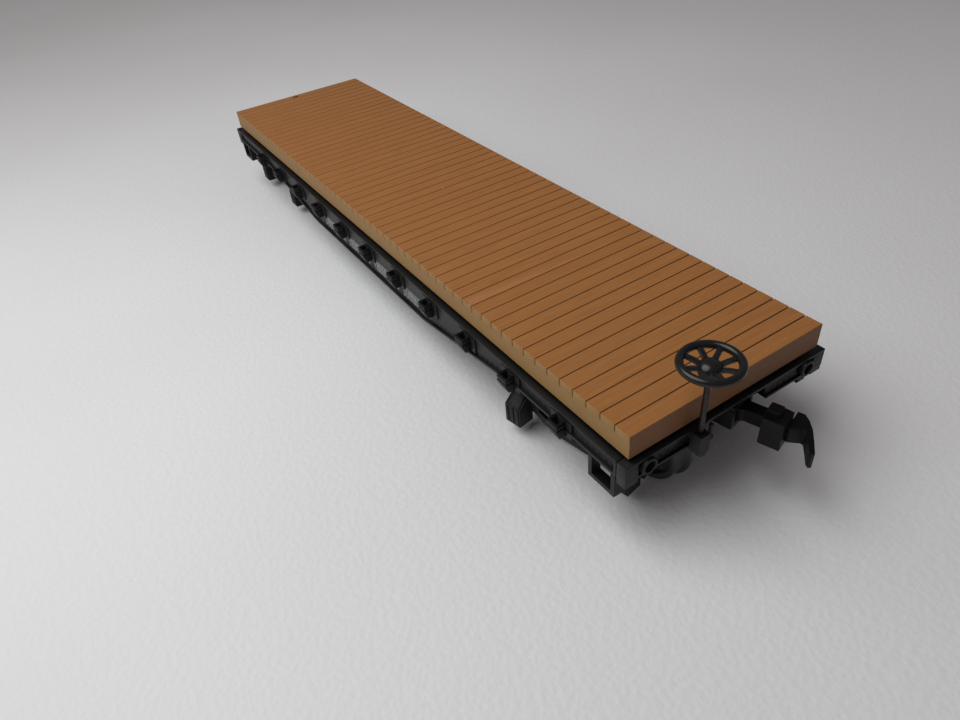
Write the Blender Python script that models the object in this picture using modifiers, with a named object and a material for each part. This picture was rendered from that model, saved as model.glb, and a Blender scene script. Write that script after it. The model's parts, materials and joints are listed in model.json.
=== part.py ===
"""Model railway flat car, HO scale (1:87): plank deck on a black fishbelly frame.

Metres, +Z up, wheels standing on Z = 0. +X is the brake-wheel end ("near"),
-X the plain end ("far"), -Y the left side. The near truck and its coupler stand
turned a little toward +Y, as a car does when it is put down off the track.
"""
import math

import bmesh
import bpy

MM = 0.001

# ---- driving dimensions ------------------------------------------------------
deck_length = 143.2 * MM
deck_width = 33.0 * MM
deck_thickness = 3.6 * MM
deck_top_height = 17.8 * MM      # above the surface that the wheels stand on
deck_wall = 3.0 * MM             # side and end walls around the hollow for the weight
deck_roof = 1.5 * MM             # board thickness left above the hollow
plank_count = 56
plank_groove_width = 0.3 * MM
plank_groove_depth = 0.25 * MM

seat_gap = 0.1 * MM              # between pieces that rest on each other
fit_gap = 0.25 * MM              # between pieces that drop into each other
running_gap = 0.08 * MM          # radial, between turning pieces

floor_thickness = 1.2 * MM
sill_ledge = 1.0 * MM            # how far the side sill stands out past the deck
sill_thickness = 1.9 * MM
sill_top_drop = 0.55 * MM        # sill top below the deck's underside
sill_end_depth = 2.8 * MM
sill_middle_depth = 6.6 * MM
sill_deep_half = 23.0 * MM       # half the length of the straight, deep part
sill_slope_end = 50.0 * MM       # where the belly has run out to the end depth

pocket_count = 11
pocket_pitch = 11.35 * MM
pocket_offset = 3.2 * MM         # the row of pockets sits this far toward +X
pocket_width = 2.5 * MM
pocket_reach = 1.5 * MM
pocket_drop = 1.15 * MM          # pocket top below the sill top
pocket_height = 2.5 * MM
pocket_hole = 1.2 * MM
pocket_hole_depth = 0.9 * MM

end_sill_thickness = 1.6 * MM
end_sill_overhang = 0.7 * MM     # end sill face past the deck's end
coupler_gate_half = 6.6 * MM
coupler_gate_height = 12.5 * MM
corner_width = 2.1 * MM          # deeper block at each end of the end sill
corner_drop = 0.75 * MM

stirrup_length = 4.9 * MM
stirrup_drop = 3.7 * MM
stirrup_width = 1.5 * MM
stirrup_bar = 0.7 * MM
stirrup_setback = 0.1 * MM       # from the end of the side sill

truck_inset = 17.0 * MM          # truck centre from the deck's end
truck_swivel_near = math.radians(11.0)
truck_swivel_far = 0.0
wheelbase = 19.3 * MM
tread_radius = 4.8 * MM
flange_height = 0.7 * MM
wheel_width = 2.8 * MM
flange_width = 0.75 * MM
back_to_back = 14.4 * MM
axle_radius = 0.8 * MM
axle_half = 12.5 * MM
axle_point = 1.3 * MM            # length of the pointed end
frame_inner_half = 11.5 * MM     # inner face of a truck side frame
frame_thickness = 1.6 * MM
journal_half = 1.45 * MM
journal_reach = 2.4 * MM         # journal box past the side frame's face
journal_low = 3.5 * MM           # below the axle
journal_face_top = -0.1 * MM     # top of the upright face, from the axle's height
journal_top = 2.0 * MM           # top of the sloping lid where it meets the frame
spring_radius = 0.6 * MM         # core of each coil spring, moulded with the frame
spring_spacing = 2.7 * MM
truck_bolster_half = 2.6 * MM
truck_bolster_top = 9.1 * MM
truck_bolster_bottom = 6.6 * MM
centre_plate_radius = 3.0 * MM
centre_plate_top = 10.2 * MM
kingpin_radius = 1.0 * MM
kingpin_head_radius = 1.9 * MM
kingpin_head_height = 0.9 * MM

coupler_pivot = 16.5 * MM        # from the truck's centre
coupler_swing_near = math.radians(6.0)
coupler_swing_far = 0.0
coupler_height = 10.3 * MM
coupler_shank_half = 0.95 * MM
coupler_shank_height = 2.0 * MM
coupler_block_height = 4.3 * MM
coupler_knob_height = 0.8 * MM   # above the block
coupler_horn_height = 2.4 * MM
coupler_pin_radius = 0.7 * MM
tray_inner_half = 1.8 * MM
tray_wall = 0.6 * MM
tray_floor = 0.8 * MM
tray_back = 4.6 * MM
tray_front = 0.7 * MM
tray_cover_thickness = 0.7 * MM
spring_strip = 0.2 * MM
spring_half_gap = 1.15 * MM
spring_length = 1.9 * MM
coupler_tail_half = 0.55 * MM
coupler_tail_length = 2.9 * MM

brake_staff_radius = 0.36 * MM
brake_staff_y = -6.55 * MM
brake_staff_out = 0.85 * MM      # staff centre past the end sill's face
brake_wheel_radius = 3.9 * MM
brake_wheel_height = 24.4 * MM
brake_rim_radius = 0.5 * MM
brake_hub_radius = 1.45 * MM
brake_hub_height = 1.3 * MM
brake_dish = 0.8 * MM            # hub centre below the rim's plane
brake_spoke_count = 8
brake_spoke_width = 0.7 * MM
brake_spoke_thickness = 0.45 * MM
bracket_half = 0.85 * MM
bracket_depth = 1.65 * MM
bracket_height = 3.4 * MM
bracket_cut = 0.5 * MM           # its two lower corners
air_pipe_radius = 0.25 * MM
air_pipe_y = -4.3 * MM
air_pipe_length = 2.6 * MM
air_pipe_cock = 0.42 * MM        # radius of the cock at its lower end

# ---- derived -----------------------------------------------------------------
half_length = deck_length / 2
half_width = deck_width / 2
truck_centre = half_length - truck_inset
deck_bottom = deck_top_height - deck_thickness
floor_top = deck_bottom - seat_gap
floor_bottom = floor_top - floor_thickness
hollow_top = deck_top_height - deck_roof
sill_outer = half_width + sill_ledge
sill_inner = sill_outer - sill_thickness
sill_top = deck_bottom - sill_top_drop
end_sill_face = half_length + end_sill_overhang
end_sill_back = end_sill_face - end_sill_thickness
frame_half = end_sill_back - seat_gap
floor_half_width = sill_inner - seat_gap
flange_radius = tread_radius + flange_height
axle_height = flange_radius
shank_bottom = coupler_height - coupler_shank_height / 2
tray_top = coupler_height + coupler_shank_height / 2 + seat_gap
tray_bottom = shank_bottom - seat_gap - tray_floor
body_bolster_bottom = centre_plate_top + seat_gap
peg_radius = 0.6 * MM
peg_x = 35.0 * MM
peg_y = floor_half_width - peg_radius - 0.4 * MM

# Coupler head in plan, X forward from the pivot, Y to the left.
head_block = [(3.9, -2.4), (6.7, -2.4), (6.7, 0.75), (4.9, 0.95), (3.9, 0.4)]
head_knob = [(4.0, -1.5), (5.6, -1.5), (5.6, 0.2), (4.0, 0.2)]
head_horn = [
    (6.3, -1.2), (7.1, -1.3), (8.45, -0.6), (8.85, -0.7), (9.4, -1.8),
    (10.3, -3.7), (10.7, -4.0), (10.97, -3.7), (10.25, -1.9), (9.3, 0.15),
    (8.4, 1.45), (7.65, 2.15), (6.75, 2.15), (6.75, 0.55), (6.3, 0.55),
]
horn_tip = (10.97 * MM, -3.7 * MM)


def turned(point, angle):
    c, s = math.cos(angle), math.sin(angle)
    return (c * point[0] - s * point[1], s * point[0] + c * point[1])


def coupler_tip_x(swivel, swing):
    pivot = turned((coupler_pivot, 0.0), swivel)
    return truck_centre + pivot[0] + turned(horn_tip, swivel + swing)[0]


near_tip = coupler_tip_x(truck_swivel_near, coupler_swing_near)
far_tip = coupler_tip_x(truck_swivel_far, coupler_swing_far)
centring = (far_tip - near_tip) / 2     # puts X = 0 midway between the coupler tips


# ---- scene, collections and materials ----------------------------------------
for old in list(bpy.data.objects):
    bpy.data.objects.remove(old)

car = bpy.data.collections.new("flat_car")
cutters = bpy.data.collections.new("cutters")
for collection in (car, cutters):
    bpy.context.scene.collection.children.link(collection)


def material(name, colour, roughness, metallic=0.0):
    made = bpy.data.materials.new(name)
    made.use_nodes = True
    shader = made.node_tree.nodes["Principled BSDF"]
    shader.inputs["Base Color"].default_value = (*colour, 1.0)
    shader.inputs["Roughness"].default_value = roughness
    shader.inputs["Metallic"].default_value = metallic
    return made


deck_brown = material("deck_brown_plastic", (0.26, 0.11, 0.035), 0.55)
frame_black = material("frame_black_plastic", (0.012, 0.012, 0.013), 0.5)
truck_black = material("truck_black_plastic", (0.014, 0.014, 0.015), 0.45)
wheel_black = material("wheel_black_plastic", (0.01, 0.01, 0.01), 0.35)
weight_steel = material("weight_steel", (0.32, 0.32, 0.33), 0.45, 1.0)
axle_steel = material("axle_steel", (0.5, 0.5, 0.5), 0.3, 1.0)
spring_bronze = material("spring_bronze", (0.5, 0.3, 0.12), 0.35, 1.0)
brake_black = material("brake_black_plastic", (0.008, 0.008, 0.009), 0.25)
staff_grey = material("brake_staff_metal", (0.16, 0.16, 0.15), 0.4, 1.0)

origin = bpy.data.objects.new("car_origin", None)
origin.location = (centring, 0.0, 0.0)
car.objects.link(origin)


def pivot_empty(name, parent, location, angle):
    empty = bpy.data.objects.new(name, None)
    empty.parent = parent
    empty.location = location
    empty.rotation_euler = (0.0, 0.0, angle)
    car.objects.link(empty)
    return empty


# ---- shapes ------------------------------------------------------------------
def box_mesh(low, high):
    """A cube stretched between two corners."""
    bm = bmesh.new()
    bmesh.ops.create_cube(bm, size=1.0)
    size = [b - a for a, b in zip(low, high)]
    middle = [(a + b) / 2 for a, b in zip(low, high)]
    bmesh.ops.scale(bm, vec=size, verts=bm.verts)
    bmesh.ops.translate(bm, vec=middle, verts=bm.verts)
    mesh = bpy.data.meshes.new("box")
    bm.to_mesh(mesh)
    bm.free()
    return mesh


def rod_mesh(radius, low, high, centre=(0.0, 0.0), sides=20, top_radius=None):
    """An upright round bar or cone from height low to height high."""
    bm = bmesh.new()
    bmesh.ops.create_cone(
        bm, cap_ends=True, segments=sides, radius1=radius,
        radius2=radius if top_radius is None else top_radius, depth=high - low)
    bmesh.ops.translate(bm, vec=(centre[0], centre[1], (low + high) / 2), verts=bm.verts)
    mesh = bpy.data.meshes.new("rod")
    bm.to_mesh(mesh)
    bm.free()
    return mesh


def outline_mesh(outlines, thickness):
    """Flat outlines in XY, holes included, with half the thickness to each side of Z = 0."""
    curve = bpy.data.curves.new("outline", "CURVE")
    curve.dimensions = "2D"
    curve.fill_mode = "BOTH"
    curve.extrude = thickness / 2
    for points in outlines:
        spline = curve.splines.new("POLY")
        spline.points.add(len(points) - 1)
        for control, (x, y) in zip(spline.points, points):
            control.co = (x, y, 0.0, 1.0)
        spline.use_cyclic_u = True
    holder = bpy.data.objects.new("outline", curve)
    car.objects.link(holder)
    graph = bpy.context.evaluated_depsgraph_get()
    mesh = bpy.data.meshes.new_from_object(holder.evaluated_get(graph))
    bpy.data.objects.remove(holder)
    bm = bmesh.new()
    bm.from_mesh(mesh)
    bmesh.ops.remove_doubles(bm, verts=bm.verts, dist=1e-6)
    bmesh.ops.recalc_face_normals(bm, faces=bm.faces)
    bm.to_mesh(mesh)
    bm.free()
    return mesh


def side_plate(outlines, low_y, high_y):
    """An outline drawn in X and Z, standing from low_y to high_y."""
    mesh = outline_mesh(outlines, high_y - low_y)
    for vertex in mesh.vertices:
        x, up, across = vertex.co
        vertex.co = (x, (low_y + high_y) / 2 - across, up)
    return mesh


def end_plate(outlines, low_x, high_x):
    """An outline drawn in Y and Z, standing from low_x to high_x."""
    mesh = outline_mesh(outlines, high_x - low_x)
    for vertex in mesh.vertices:
        y, up, along = vertex.co
        vertex.co = ((low_x + high_x) / 2 + along, y, up)
    return mesh


def floor_plate(outline, low_z, high_z):
    """An outline drawn in X and Y, lying from low_z to high_z."""
    mesh = outline_mesh([outline], high_z - low_z)
    for vertex in mesh.vertices:
        vertex.co.z += (low_z + high_z) / 2
    return mesh


def place(name, mesh, finish, parent=origin, location=(0.0, 0.0, 0.0), angle=0.0):
    mesh.name = name
    mesh.materials.clear()
    mesh.materials.append(finish)
    part = bpy.data.objects.new(name, mesh)
    part.parent = parent
    part.location = location
    part.rotation_euler = (0.0, 0.0, angle)
    car.objects.link(part)
    return part


def combine(part, meshes, operation, solver="EXACT"):
    """Joins meshes to the part, or cuts them out of it, in the part's own space."""
    for index, mesh in enumerate(meshes):
        tool = bpy.data.objects.new(f"{part.name}_{operation.lower()}_{index}", mesh)
        tool.parent = part
        tool.hide_render = True
        tool.display_type = "WIRE"
        cutters.objects.link(tool)
        step = part.modifiers.new(tool.name, "BOOLEAN")
        step.operation = operation
        step.solver = solver
        step.object = tool


def together(meshes):
    """One mesh of several shapes that don't touch each other."""
    bm = bmesh.new()
    for mesh in meshes:
        bm.from_mesh(mesh)
    joined = bpy.data.meshes.new("together")
    bm.to_mesh(joined)
    bm.free()
    return joined


def turned_part(name, profile, finish, steps, parent=origin, location=(0.0, 0.0, 0.0),
                lying=False, angle=0.0):
    """A solid turned from (radius, height) points; off the axis the profile is a loop."""
    mesh = bpy.data.meshes.new(name)
    count = len(profile)
    edges = [(i, (i + 1) % count) for i in range(count)]
    if profile[0][0] == 0.0:
        edges.pop()
    mesh.from_pydata([(r, 0.0, z) for r, z in profile], edges, [])
    part = place(name, mesh, finish, parent, location, angle)
    if lying:
        part.rotation_euler = (math.radians(-90.0), 0.0, angle)
    spin = part.modifiers.new("turn", "SCREW")
    spin.axis = "Z"
    spin.steps = steps
    spin.render_steps = steps
    spin.use_merge_vertices = True
    spin.merge_threshold = 1e-6
    return part


# ---- deck --------------------------------------------------------------------
# One brown moulding: planks across the car, hollow below for the weight, four pegs.
pitch = deck_length / plank_count
deck_outline = [(-half_length, deck_bottom), (half_length, deck_bottom)]
deck_outline.append((half_length, deck_top_height))
for groove in range(plank_count - 1, 0, -1):
    x = -half_length + groove * pitch
    groove_floor = deck_top_height - plank_groove_depth
    deck_outline.append((x + plank_groove_width / 2, deck_top_height))
    deck_outline.append((x + plank_groove_width / 4, groove_floor))
    deck_outline.append((x - plank_groove_width / 4, groove_floor))
    deck_outline.append((x - plank_groove_width / 2, deck_top_height))
deck_outline.append((-half_length, deck_top_height))
deck = place("deck", side_plate([deck_outline], -half_width, half_width), deck_brown)

hollow_half_length = half_length - deck_wall
hollow_half_width = half_width - deck_wall
slot_centre = -half_length + pitch / 2
combine(deck, [
    box_mesh((-hollow_half_length, -hollow_half_width, deck_bottom - fit_gap),
             (hollow_half_length, hollow_half_width, hollow_top)),
    box_mesh((slot_centre - 0.4 * MM, -1.7 * MM, deck_top_height - 1.2 * MM),
             (slot_centre + 0.4 * MM, -0.3 * MM, deck_top_height + fit_gap)),
], "DIFFERENCE")
peg_spots = [(x, y) for x in (-peg_x, peg_x) for y in (-peg_y, peg_y)]
combine(deck, [together([rod_mesh(peg_radius, floor_bottom, deck_bottom + fit_gap, spot, 12)
                         for spot in peg_spots])], "UNION")

# ---- weight ------------------------------------------------------------------
# A plain steel strip in the deck's hollow, lying on the floor.
place("weight", box_mesh(
    (-hollow_half_length + fit_gap, -hollow_half_width + fit_gap, floor_top + seat_gap),
    (hollow_half_length - fit_gap, hollow_half_width - fit_gap, hollow_top - fit_gap)),
    weight_steel)

# ---- underframe --------------------------------------------------------------
# Floor, centre sill, body bolsters and cross-bearers, one black moulding.
underframe = place("underframe", box_mesh(
    (-frame_half, -floor_half_width, floor_bottom),
    (frame_half, floor_half_width, floor_top)), frame_black)
overlap = 0.3 * MM                       # buried depth of joined shapes
centre_half = 2.6 * MM
centre_half_length = truck_centre - wheelbase / 2 - 1.0 * MM
centre_deep_half = sill_deep_half
centre_bottom = sill_top - sill_middle_depth + 0.8 * MM
centre_shallow = floor_bottom - 1.6 * MM
centre_sill = side_plate([[
    (-centre_half_length, centre_shallow), (-centre_deep_half, centre_bottom),
    (centre_deep_half, centre_bottom), (centre_half_length, centre_shallow),
    (centre_half_length, floor_bottom + overlap),
    (-centre_half_length, floor_bottom + overlap)]], -centre_half, centre_half)
bolster_half = 3.0 * MM
bolster_root = 9.5 * MM
frame_pieces = [centre_sill]
for end in (-1, 1):
    frame_pieces.append(end_plate([[
        (-floor_half_width, floor_bottom - 1.0 * MM), (-bolster_root, body_bolster_bottom),
        (bolster_root, body_bolster_bottom), (floor_half_width, floor_bottom - 1.0 * MM),
        (floor_half_width, floor_bottom + overlap),
        (-floor_half_width, floor_bottom + overlap)]],
        end * truck_centre - bolster_half, end * truck_centre + bolster_half))
bearer_half = 0.5 * MM
bearer_bottom = centre_bottom + 0.6 * MM
for station in (-2, -1, 1, 2):
    x = station * 12.0 * MM - math.copysign(4.0 * MM, station)
    frame_pieces.append(end_plate([[
        (-floor_half_width, floor_bottom - 1.2 * MM), (-centre_half, bearer_bottom),
        (centre_half, bearer_bottom), (floor_half_width, floor_bottom - 1.2 * MM),
        (floor_half_width, floor_bottom + overlap),
        (-floor_half_width, floor_bottom + overlap)]], x - bearer_half, x + bearer_half))
combine(underframe, frame_pieces, "UNION")
kingpin_top = floor_bottom
holes = [rod_mesh(kingpin_radius + running_gap, body_bolster_bottom - fit_gap,
                  kingpin_top + fit_gap, (end * truck_centre, 0.0)) for end in (-1, 1)]
holes += [rod_mesh(peg_radius + running_gap, floor_bottom - fit_gap, floor_top + fit_gap,
                   spot, 12) for spot in peg_spots]
combine(underframe, [together(holes)], "DIFFERENCE")

# ---- side sills with their stake pockets --------------------------------------
sill_outline = [
    (-frame_half, sill_top - sill_end_depth), (-sill_slope_end, sill_top - sill_end_depth),
    (-sill_deep_half, sill_top - sill_middle_depth),
    (sill_deep_half, sill_top - sill_middle_depth),
    (sill_slope_end, sill_top - sill_end_depth), (frame_half, sill_top - sill_end_depth),
    (frame_half, sill_top), (-frame_half, sill_top)]


pocket_places = [pocket_offset + (i - (pocket_count - 1) / 2) * pocket_pitch
                 for i in range(pocket_count)]
pocket_top = sill_top - pocket_drop
pocket_outer = sill_outer + pocket_reach
pocket_middle = sill_outer + pocket_reach / 2
for side, sign in (("left", -1), ("right", 1)):
    near_face, far_face = sorted((sign * sill_inner, sign * sill_outer))
    sill = place(f"side_sill_{side}", side_plate([sill_outline], near_face, far_face),
                 frame_black)
    pockets = []
    holes = []
    for x in pocket_places:
        shape = end_plate([[
            (sign * (sill_outer - overlap), pocket_top - pocket_height),
            (sign * (sill_outer + 0.55 * pocket_reach), pocket_top - pocket_height),
            (sign * pocket_outer, pocket_top - 0.6 * pocket_height),
            (sign * pocket_outer, pocket_top),
            (sign * (sill_outer - overlap), pocket_top)]],
            x - pocket_width / 2, x + pocket_width / 2)
        pockets.append(shape)
        hole_low, hole_high = sorted((sign * (pocket_middle - pocket_hole / 2),
                                      sign * (pocket_middle + pocket_hole / 2)))
        holes.append(box_mesh((x - pocket_hole / 2, hole_low, pocket_top - pocket_hole_depth),
                              (x + pocket_hole / 2, hole_high, pocket_top + fit_gap)))
    combine(sill, [together(pockets)], "UNION", "MANIFOLD")
    combine(sill, [together(holes)], "DIFFERENCE", "MANIFOLD")

# ---- end sills ----------------------------------------------------------------
sill_end_bottom = sill_top - sill_end_depth
poling_y = 14.0 * MM
poling_z = sill_end_bottom + 1.35 * MM
corner_bottom = sill_end_bottom - corner_drop
corner_inner = sill_outer - corner_width
end_outline = [
    (-sill_outer, corner_bottom), (-corner_inner, corner_bottom),
    (-corner_inner, sill_end_bottom), (-coupler_gate_half, sill_end_bottom),
    (-coupler_gate_half, coupler_gate_height), (coupler_gate_half, coupler_gate_height),
    (coupler_gate_half, sill_end_bottom), (corner_inner, sill_end_bottom),
    (corner_inner, corner_bottom), (sill_outer, corner_bottom),
    (sill_outer, sill_top), (-sill_outer, sill_top)]
for end, sign in (("near", 1), ("far", -1)):
    low_x, high_x = sorted((sign * end_sill_back, sign * end_sill_face))
    end_sill = place(f"end_sill_{end}", end_plate([end_outline], low_x, high_x), frame_black)
    bosses = []
    sockets = []
    for y in (-poling_y, poling_y):
        for meshes, radius, start, stop in ((bosses, 1.2 * MM, -0.3 * MM, 0.4 * MM),
                                            (sockets, 0.7 * MM, -0.4 * MM, 0.9 * MM)):
            boss = rod_mesh(radius, start, stop, sides=16)
            for vertex in boss.vertices:
                a, b, out = vertex.co
                vertex.co = (sign * (end_sill_face + out), y + sign * a, poling_z + b)
            meshes.append(boss)
    combine(end_sill, [together(bosses)], "UNION")
    combine(end_sill, [together(sockets)], "DIFFERENCE")

# ---- stirrup steps ------------------------------------------------------------
stirrup_top = sill_end_bottom - seat_gap
stirrup_low = stirrup_top - stirrup_drop
stirrup_outer = frame_half - stirrup_setback
stirrup_inner = stirrup_outer - stirrup_length
for end, sign in (("near", 1), ("far", -1)):
    for side, across in (("left", -1), ("right", 1)):
        low_y, high_y = sorted((across * sill_outer, across * (sill_outer - stirrup_width)))
        strap = [
            (sign * stirrup_inner, stirrup_top), (sign * stirrup_inner, stirrup_low),
            (sign * stirrup_outer, stirrup_low), (sign * stirrup_outer, stirrup_top),
            (sign * (stirrup_outer - stirrup_bar), stirrup_top),
            (sign * (stirrup_outer - stirrup_bar), stirrup_low + stirrup_bar),
            (sign * (stirrup_inner + stirrup_bar), stirrup_low + stirrup_bar),
            (sign * (stirrup_inner + stirrup_bar), stirrup_top)]
        place(f"stirrup_{end}_{side}", side_plate([strap], low_y, high_y), frame_black)

# ---- hand brake ---------------------------------------------------------------
staff_x = end_sill_face + brake_staff_out
bracket_back = end_sill_face + seat_gap
bracket_bottom = sill_top - bracket_height
bracket_outline = [
    (brake_staff_y + bracket_half, sill_top), (brake_staff_y - bracket_half, sill_top),
    (brake_staff_y - bracket_half, bracket_bottom + bracket_cut),
    (brake_staff_y - bracket_half + bracket_cut, bracket_bottom),
    (brake_staff_y + bracket_half - bracket_cut, bracket_bottom),
    (brake_staff_y + bracket_half, bracket_bottom + bracket_cut)]
bracket = place("brake_bracket", end_plate([bracket_outline], bracket_back,
                                           bracket_back + bracket_depth), frame_black)
socket_floor = bracket_bottom + 1.0 * MM
combine(bracket, [rod_mesh(brake_staff_radius + running_gap, socket_floor,
                           sill_top + fit_gap, (staff_x, brake_staff_y), 16)], "DIFFERENCE")

pipe_top = sill_top - 0.2 * MM
pipe_low = pipe_top - air_pipe_length
turned_part("air_pipe", [
    (0.0, air_pipe_length), (air_pipe_radius, air_pipe_length),
    (air_pipe_radius, 0.8 * MM), (air_pipe_cock, 0.6 * MM), (air_pipe_cock, 0.2 * MM),
    (air_pipe_radius, 0.0), (0.0, 0.0)], frame_black, 12,
    location=(end_sill_face + seat_gap + air_pipe_cock, air_pipe_y, pipe_low))

hub_centre = brake_wheel_height - brake_dish
staff_low = socket_floor + seat_gap
staff_top = hub_centre + 0.1 * MM
turned_part("brake_staff", [
    (0.0, staff_top - staff_low), (brake_staff_radius, staff_top - staff_low),
    (brake_staff_radius, 0.0), (0.0, 0.0)], staff_grey, 16,
    location=(staff_x, brake_staff_y, staff_low))

rim_mid = brake_wheel_radius - brake_rim_radius
bpy.ops.mesh.primitive_torus_add(major_segments=28, minor_segments=8,
                                 major_radius=rim_mid, minor_radius=brake_rim_radius)
rim = bpy.context.object
rim_mesh = rim.data
bpy.data.objects.remove(rim)
brake_wheel = place("brake_wheel", rim_mesh, brake_black,
                    location=(staff_x, brake_staff_y, brake_wheel_height))
spider_outline = []
spoke_root = 0.5 * brake_spoke_width / math.tan(math.pi / brake_spoke_count) + 0.2 * MM
for spoke in range(brake_spoke_count):
    turn = (spoke + 0.5) * 2 * math.pi / brake_spoke_count
    for reach, half in ((spoke_root, -0.5), (rim_mid, -0.4), (rim_mid, 0.4), (spoke_root, 0.5)):
        spider_outline.append(turned((reach, half * brake_spoke_width), turn))
spider = outline_mesh([spider_outline], brake_spoke_thickness)
for vertex in spider.vertices:
    if vertex.co.xy.length < rim_mid / 2:
        vertex.co.z -= brake_dish
hub = rod_mesh(brake_hub_radius, -brake_dish - brake_hub_height / 2,
               -brake_dish + brake_hub_height / 2, sides=16,
               top_radius=0.7 * brake_hub_radius)
combine(brake_wheel, [spider, hub], "UNION")
combine(brake_wheel, [rod_mesh(brake_staff_radius + running_gap,
                               -brake_dish - brake_hub_height,
                               -brake_dish + 0.1 * MM + seat_gap, sides=16)], "DIFFERENCE")

# ---- trucks -------------------------------------------------------------------
wheel_back = back_to_back / 2
wheel_face = wheel_back + wheel_width
hub_reach = 0.35 * MM
bore = axle_radius + running_gap / 2
wheel_profile = [
    (bore, wheel_back), (flange_radius - 0.4 * MM, wheel_back),
    (flange_radius, wheel_back + 0.35 * MM), (tread_radius + 0.1 * MM, wheel_back + flange_width),
    (tread_radius - 0.1 * MM, wheel_face), (tread_radius - 0.8 * MM, wheel_face),
    (3.2 * MM, wheel_face - 0.8 * MM), (1.9 * MM, wheel_face - 0.5 * MM),
    (1.6 * MM, wheel_face + hub_reach), (bore, wheel_face + hub_reach)]

axle_profile = [(0.0, axle_half), (axle_radius, axle_half - axle_point),
                (axle_radius, -axle_half + axle_point), (0.0, -axle_half)]

side_x = wheelbase / 2
side_low = 1.9 * MM
side_outline = [
    (-side_x - 2.1 * MM, axle_height - 1.6 * MM), (-side_x + 2.0 * MM, axle_height - 1.6 * MM),
    (-4.2 * MM, side_low), (4.2 * MM, side_low),
    (side_x - 2.0 * MM, axle_height - 1.6 * MM), (side_x + 2.1 * MM, axle_height - 1.6 * MM),
    (side_x + 2.1 * MM, axle_height + 1.9 * MM), (side_x - 1.6 * MM, axle_height + 2.1 * MM),
    (4.2 * MM, truck_bolster_top + 0.3 * MM), (-4.2 * MM, truck_bolster_top + 0.3 * MM),
    (-side_x + 1.6 * MM, axle_height + 2.1 * MM), (-side_x - 2.1 * MM, axle_height + 1.9 * MM)]
window = [(side_x - 3.4 * MM, axle_height + 1.2 * MM), (side_x - 3.0 * MM, axle_height - 0.9 * MM),
          (3.7 * MM, side_low + 1.3 * MM), (3.7 * MM, truck_bolster_top - 1.4 * MM)]
spring_window = [(-2.7 * MM, side_low + 1.0 * MM), (2.7 * MM, side_low + 1.0 * MM),
                 (2.7 * MM, truck_bolster_bottom - 0.9 * MM),
                 (-2.7 * MM, truck_bolster_bottom - 0.9 * MM)]
side_windows = [window, [(-x, z) for x, z in window], spring_window]


def lying_bar(radius, start, stop, x, sides=16, end_radius=None):
    """A round bar or cone along Y at axle height."""
    mesh = rod_mesh(radius, start, stop, sides=sides, top_radius=end_radius)
    for vertex in mesh.vertices:
        a, b, along = vertex.co
        vertex.co = (x + a, along, axle_height + b)
    mesh.flip_normals()
    return mesh


def truck_frame(end, hub_empty):
    """Bolster, two side frames, tongue and coupler tray in one moulding."""
    frame = place(f"truck_frame_{end}", box_mesh(
        (-truck_bolster_half, -frame_inner_half - overlap, truck_bolster_bottom),
        (truck_bolster_half, frame_inner_half + overlap, truck_bolster_top)),
        truck_black, hub_empty)
    joined = []
    for across in (-1, 1):
        low_y, high_y = sorted((across * frame_inner_half,
                                across * (frame_inner_half + frame_thickness)))
        joined.append(side_plate([side_outline] + side_windows, low_y, high_y))
        root = across * (frame_inner_half + frame_thickness - overlap)
        face = across * (frame_inner_half + frame_thickness + journal_reach)
        for x in (-side_x, side_x):
            joined.append(end_plate([[
                (root, axle_height - journal_low), (face, axle_height - journal_low),
                (face, axle_height + journal_face_top), (root, axle_height + journal_top)]],
                x - journal_half, x + journal_half))
        spring_y = across * (frame_inner_half + frame_thickness / 2)
        for x in (-spring_spacing / 2, spring_spacing / 2):
            joined.append(rod_mesh(spring_radius, side_low + 0.6 * MM, truck_bolster_bottom,
                                   (x, spring_y), 16))
    joined.append(rod_mesh(centre_plate_radius, truck_bolster_top - overlap, centre_plate_top))
    tongue_half = tray_inner_half + tray_wall
    joined.append(box_mesh((truck_bolster_half - overlap, -tongue_half, tray_bottom),
                           (coupler_pivot - tray_back + overlap, tongue_half,
                            tray_bottom + tray_floor)))
    joined.append(box_mesh((coupler_pivot - tray_back, -tongue_half, tray_bottom),
                           (coupler_pivot + tray_front, tongue_half, tray_top)))
    combine(frame, joined, "UNION")
    cuts = [box_mesh((coupler_pivot - tray_back + tray_wall, -tray_inner_half,
                      tray_bottom + tray_floor),
                     (coupler_pivot + tray_front + fit_gap, tray_inner_half,
                      tray_top + fit_gap))]
    cuts.append(rod_mesh(kingpin_radius + running_gap, truck_bolster_bottom - fit_gap,
                         centre_plate_top + fit_gap))
    mouth, blind = frame_inner_half - fit_gap, axle_half + seat_gap
    taper = axle_radius / axle_point
    wide, narrow = [taper * (axle_half - y) + running_gap for y in (mouth, blind)]
    for x in (-side_x, side_x):
        cuts.append(lying_bar(wide, mouth, blind, x, end_radius=narrow))
        cuts.append(lying_bar(narrow, -blind, -mouth, x, end_radius=wide))
    combine(frame, cuts, "DIFFERENCE")
    combine(frame, [rod_mesh(coupler_pin_radius, tray_bottom + tray_floor - overlap,
                             tray_top, (coupler_pivot, 0.0), 16)], "UNION")
    return frame


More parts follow.
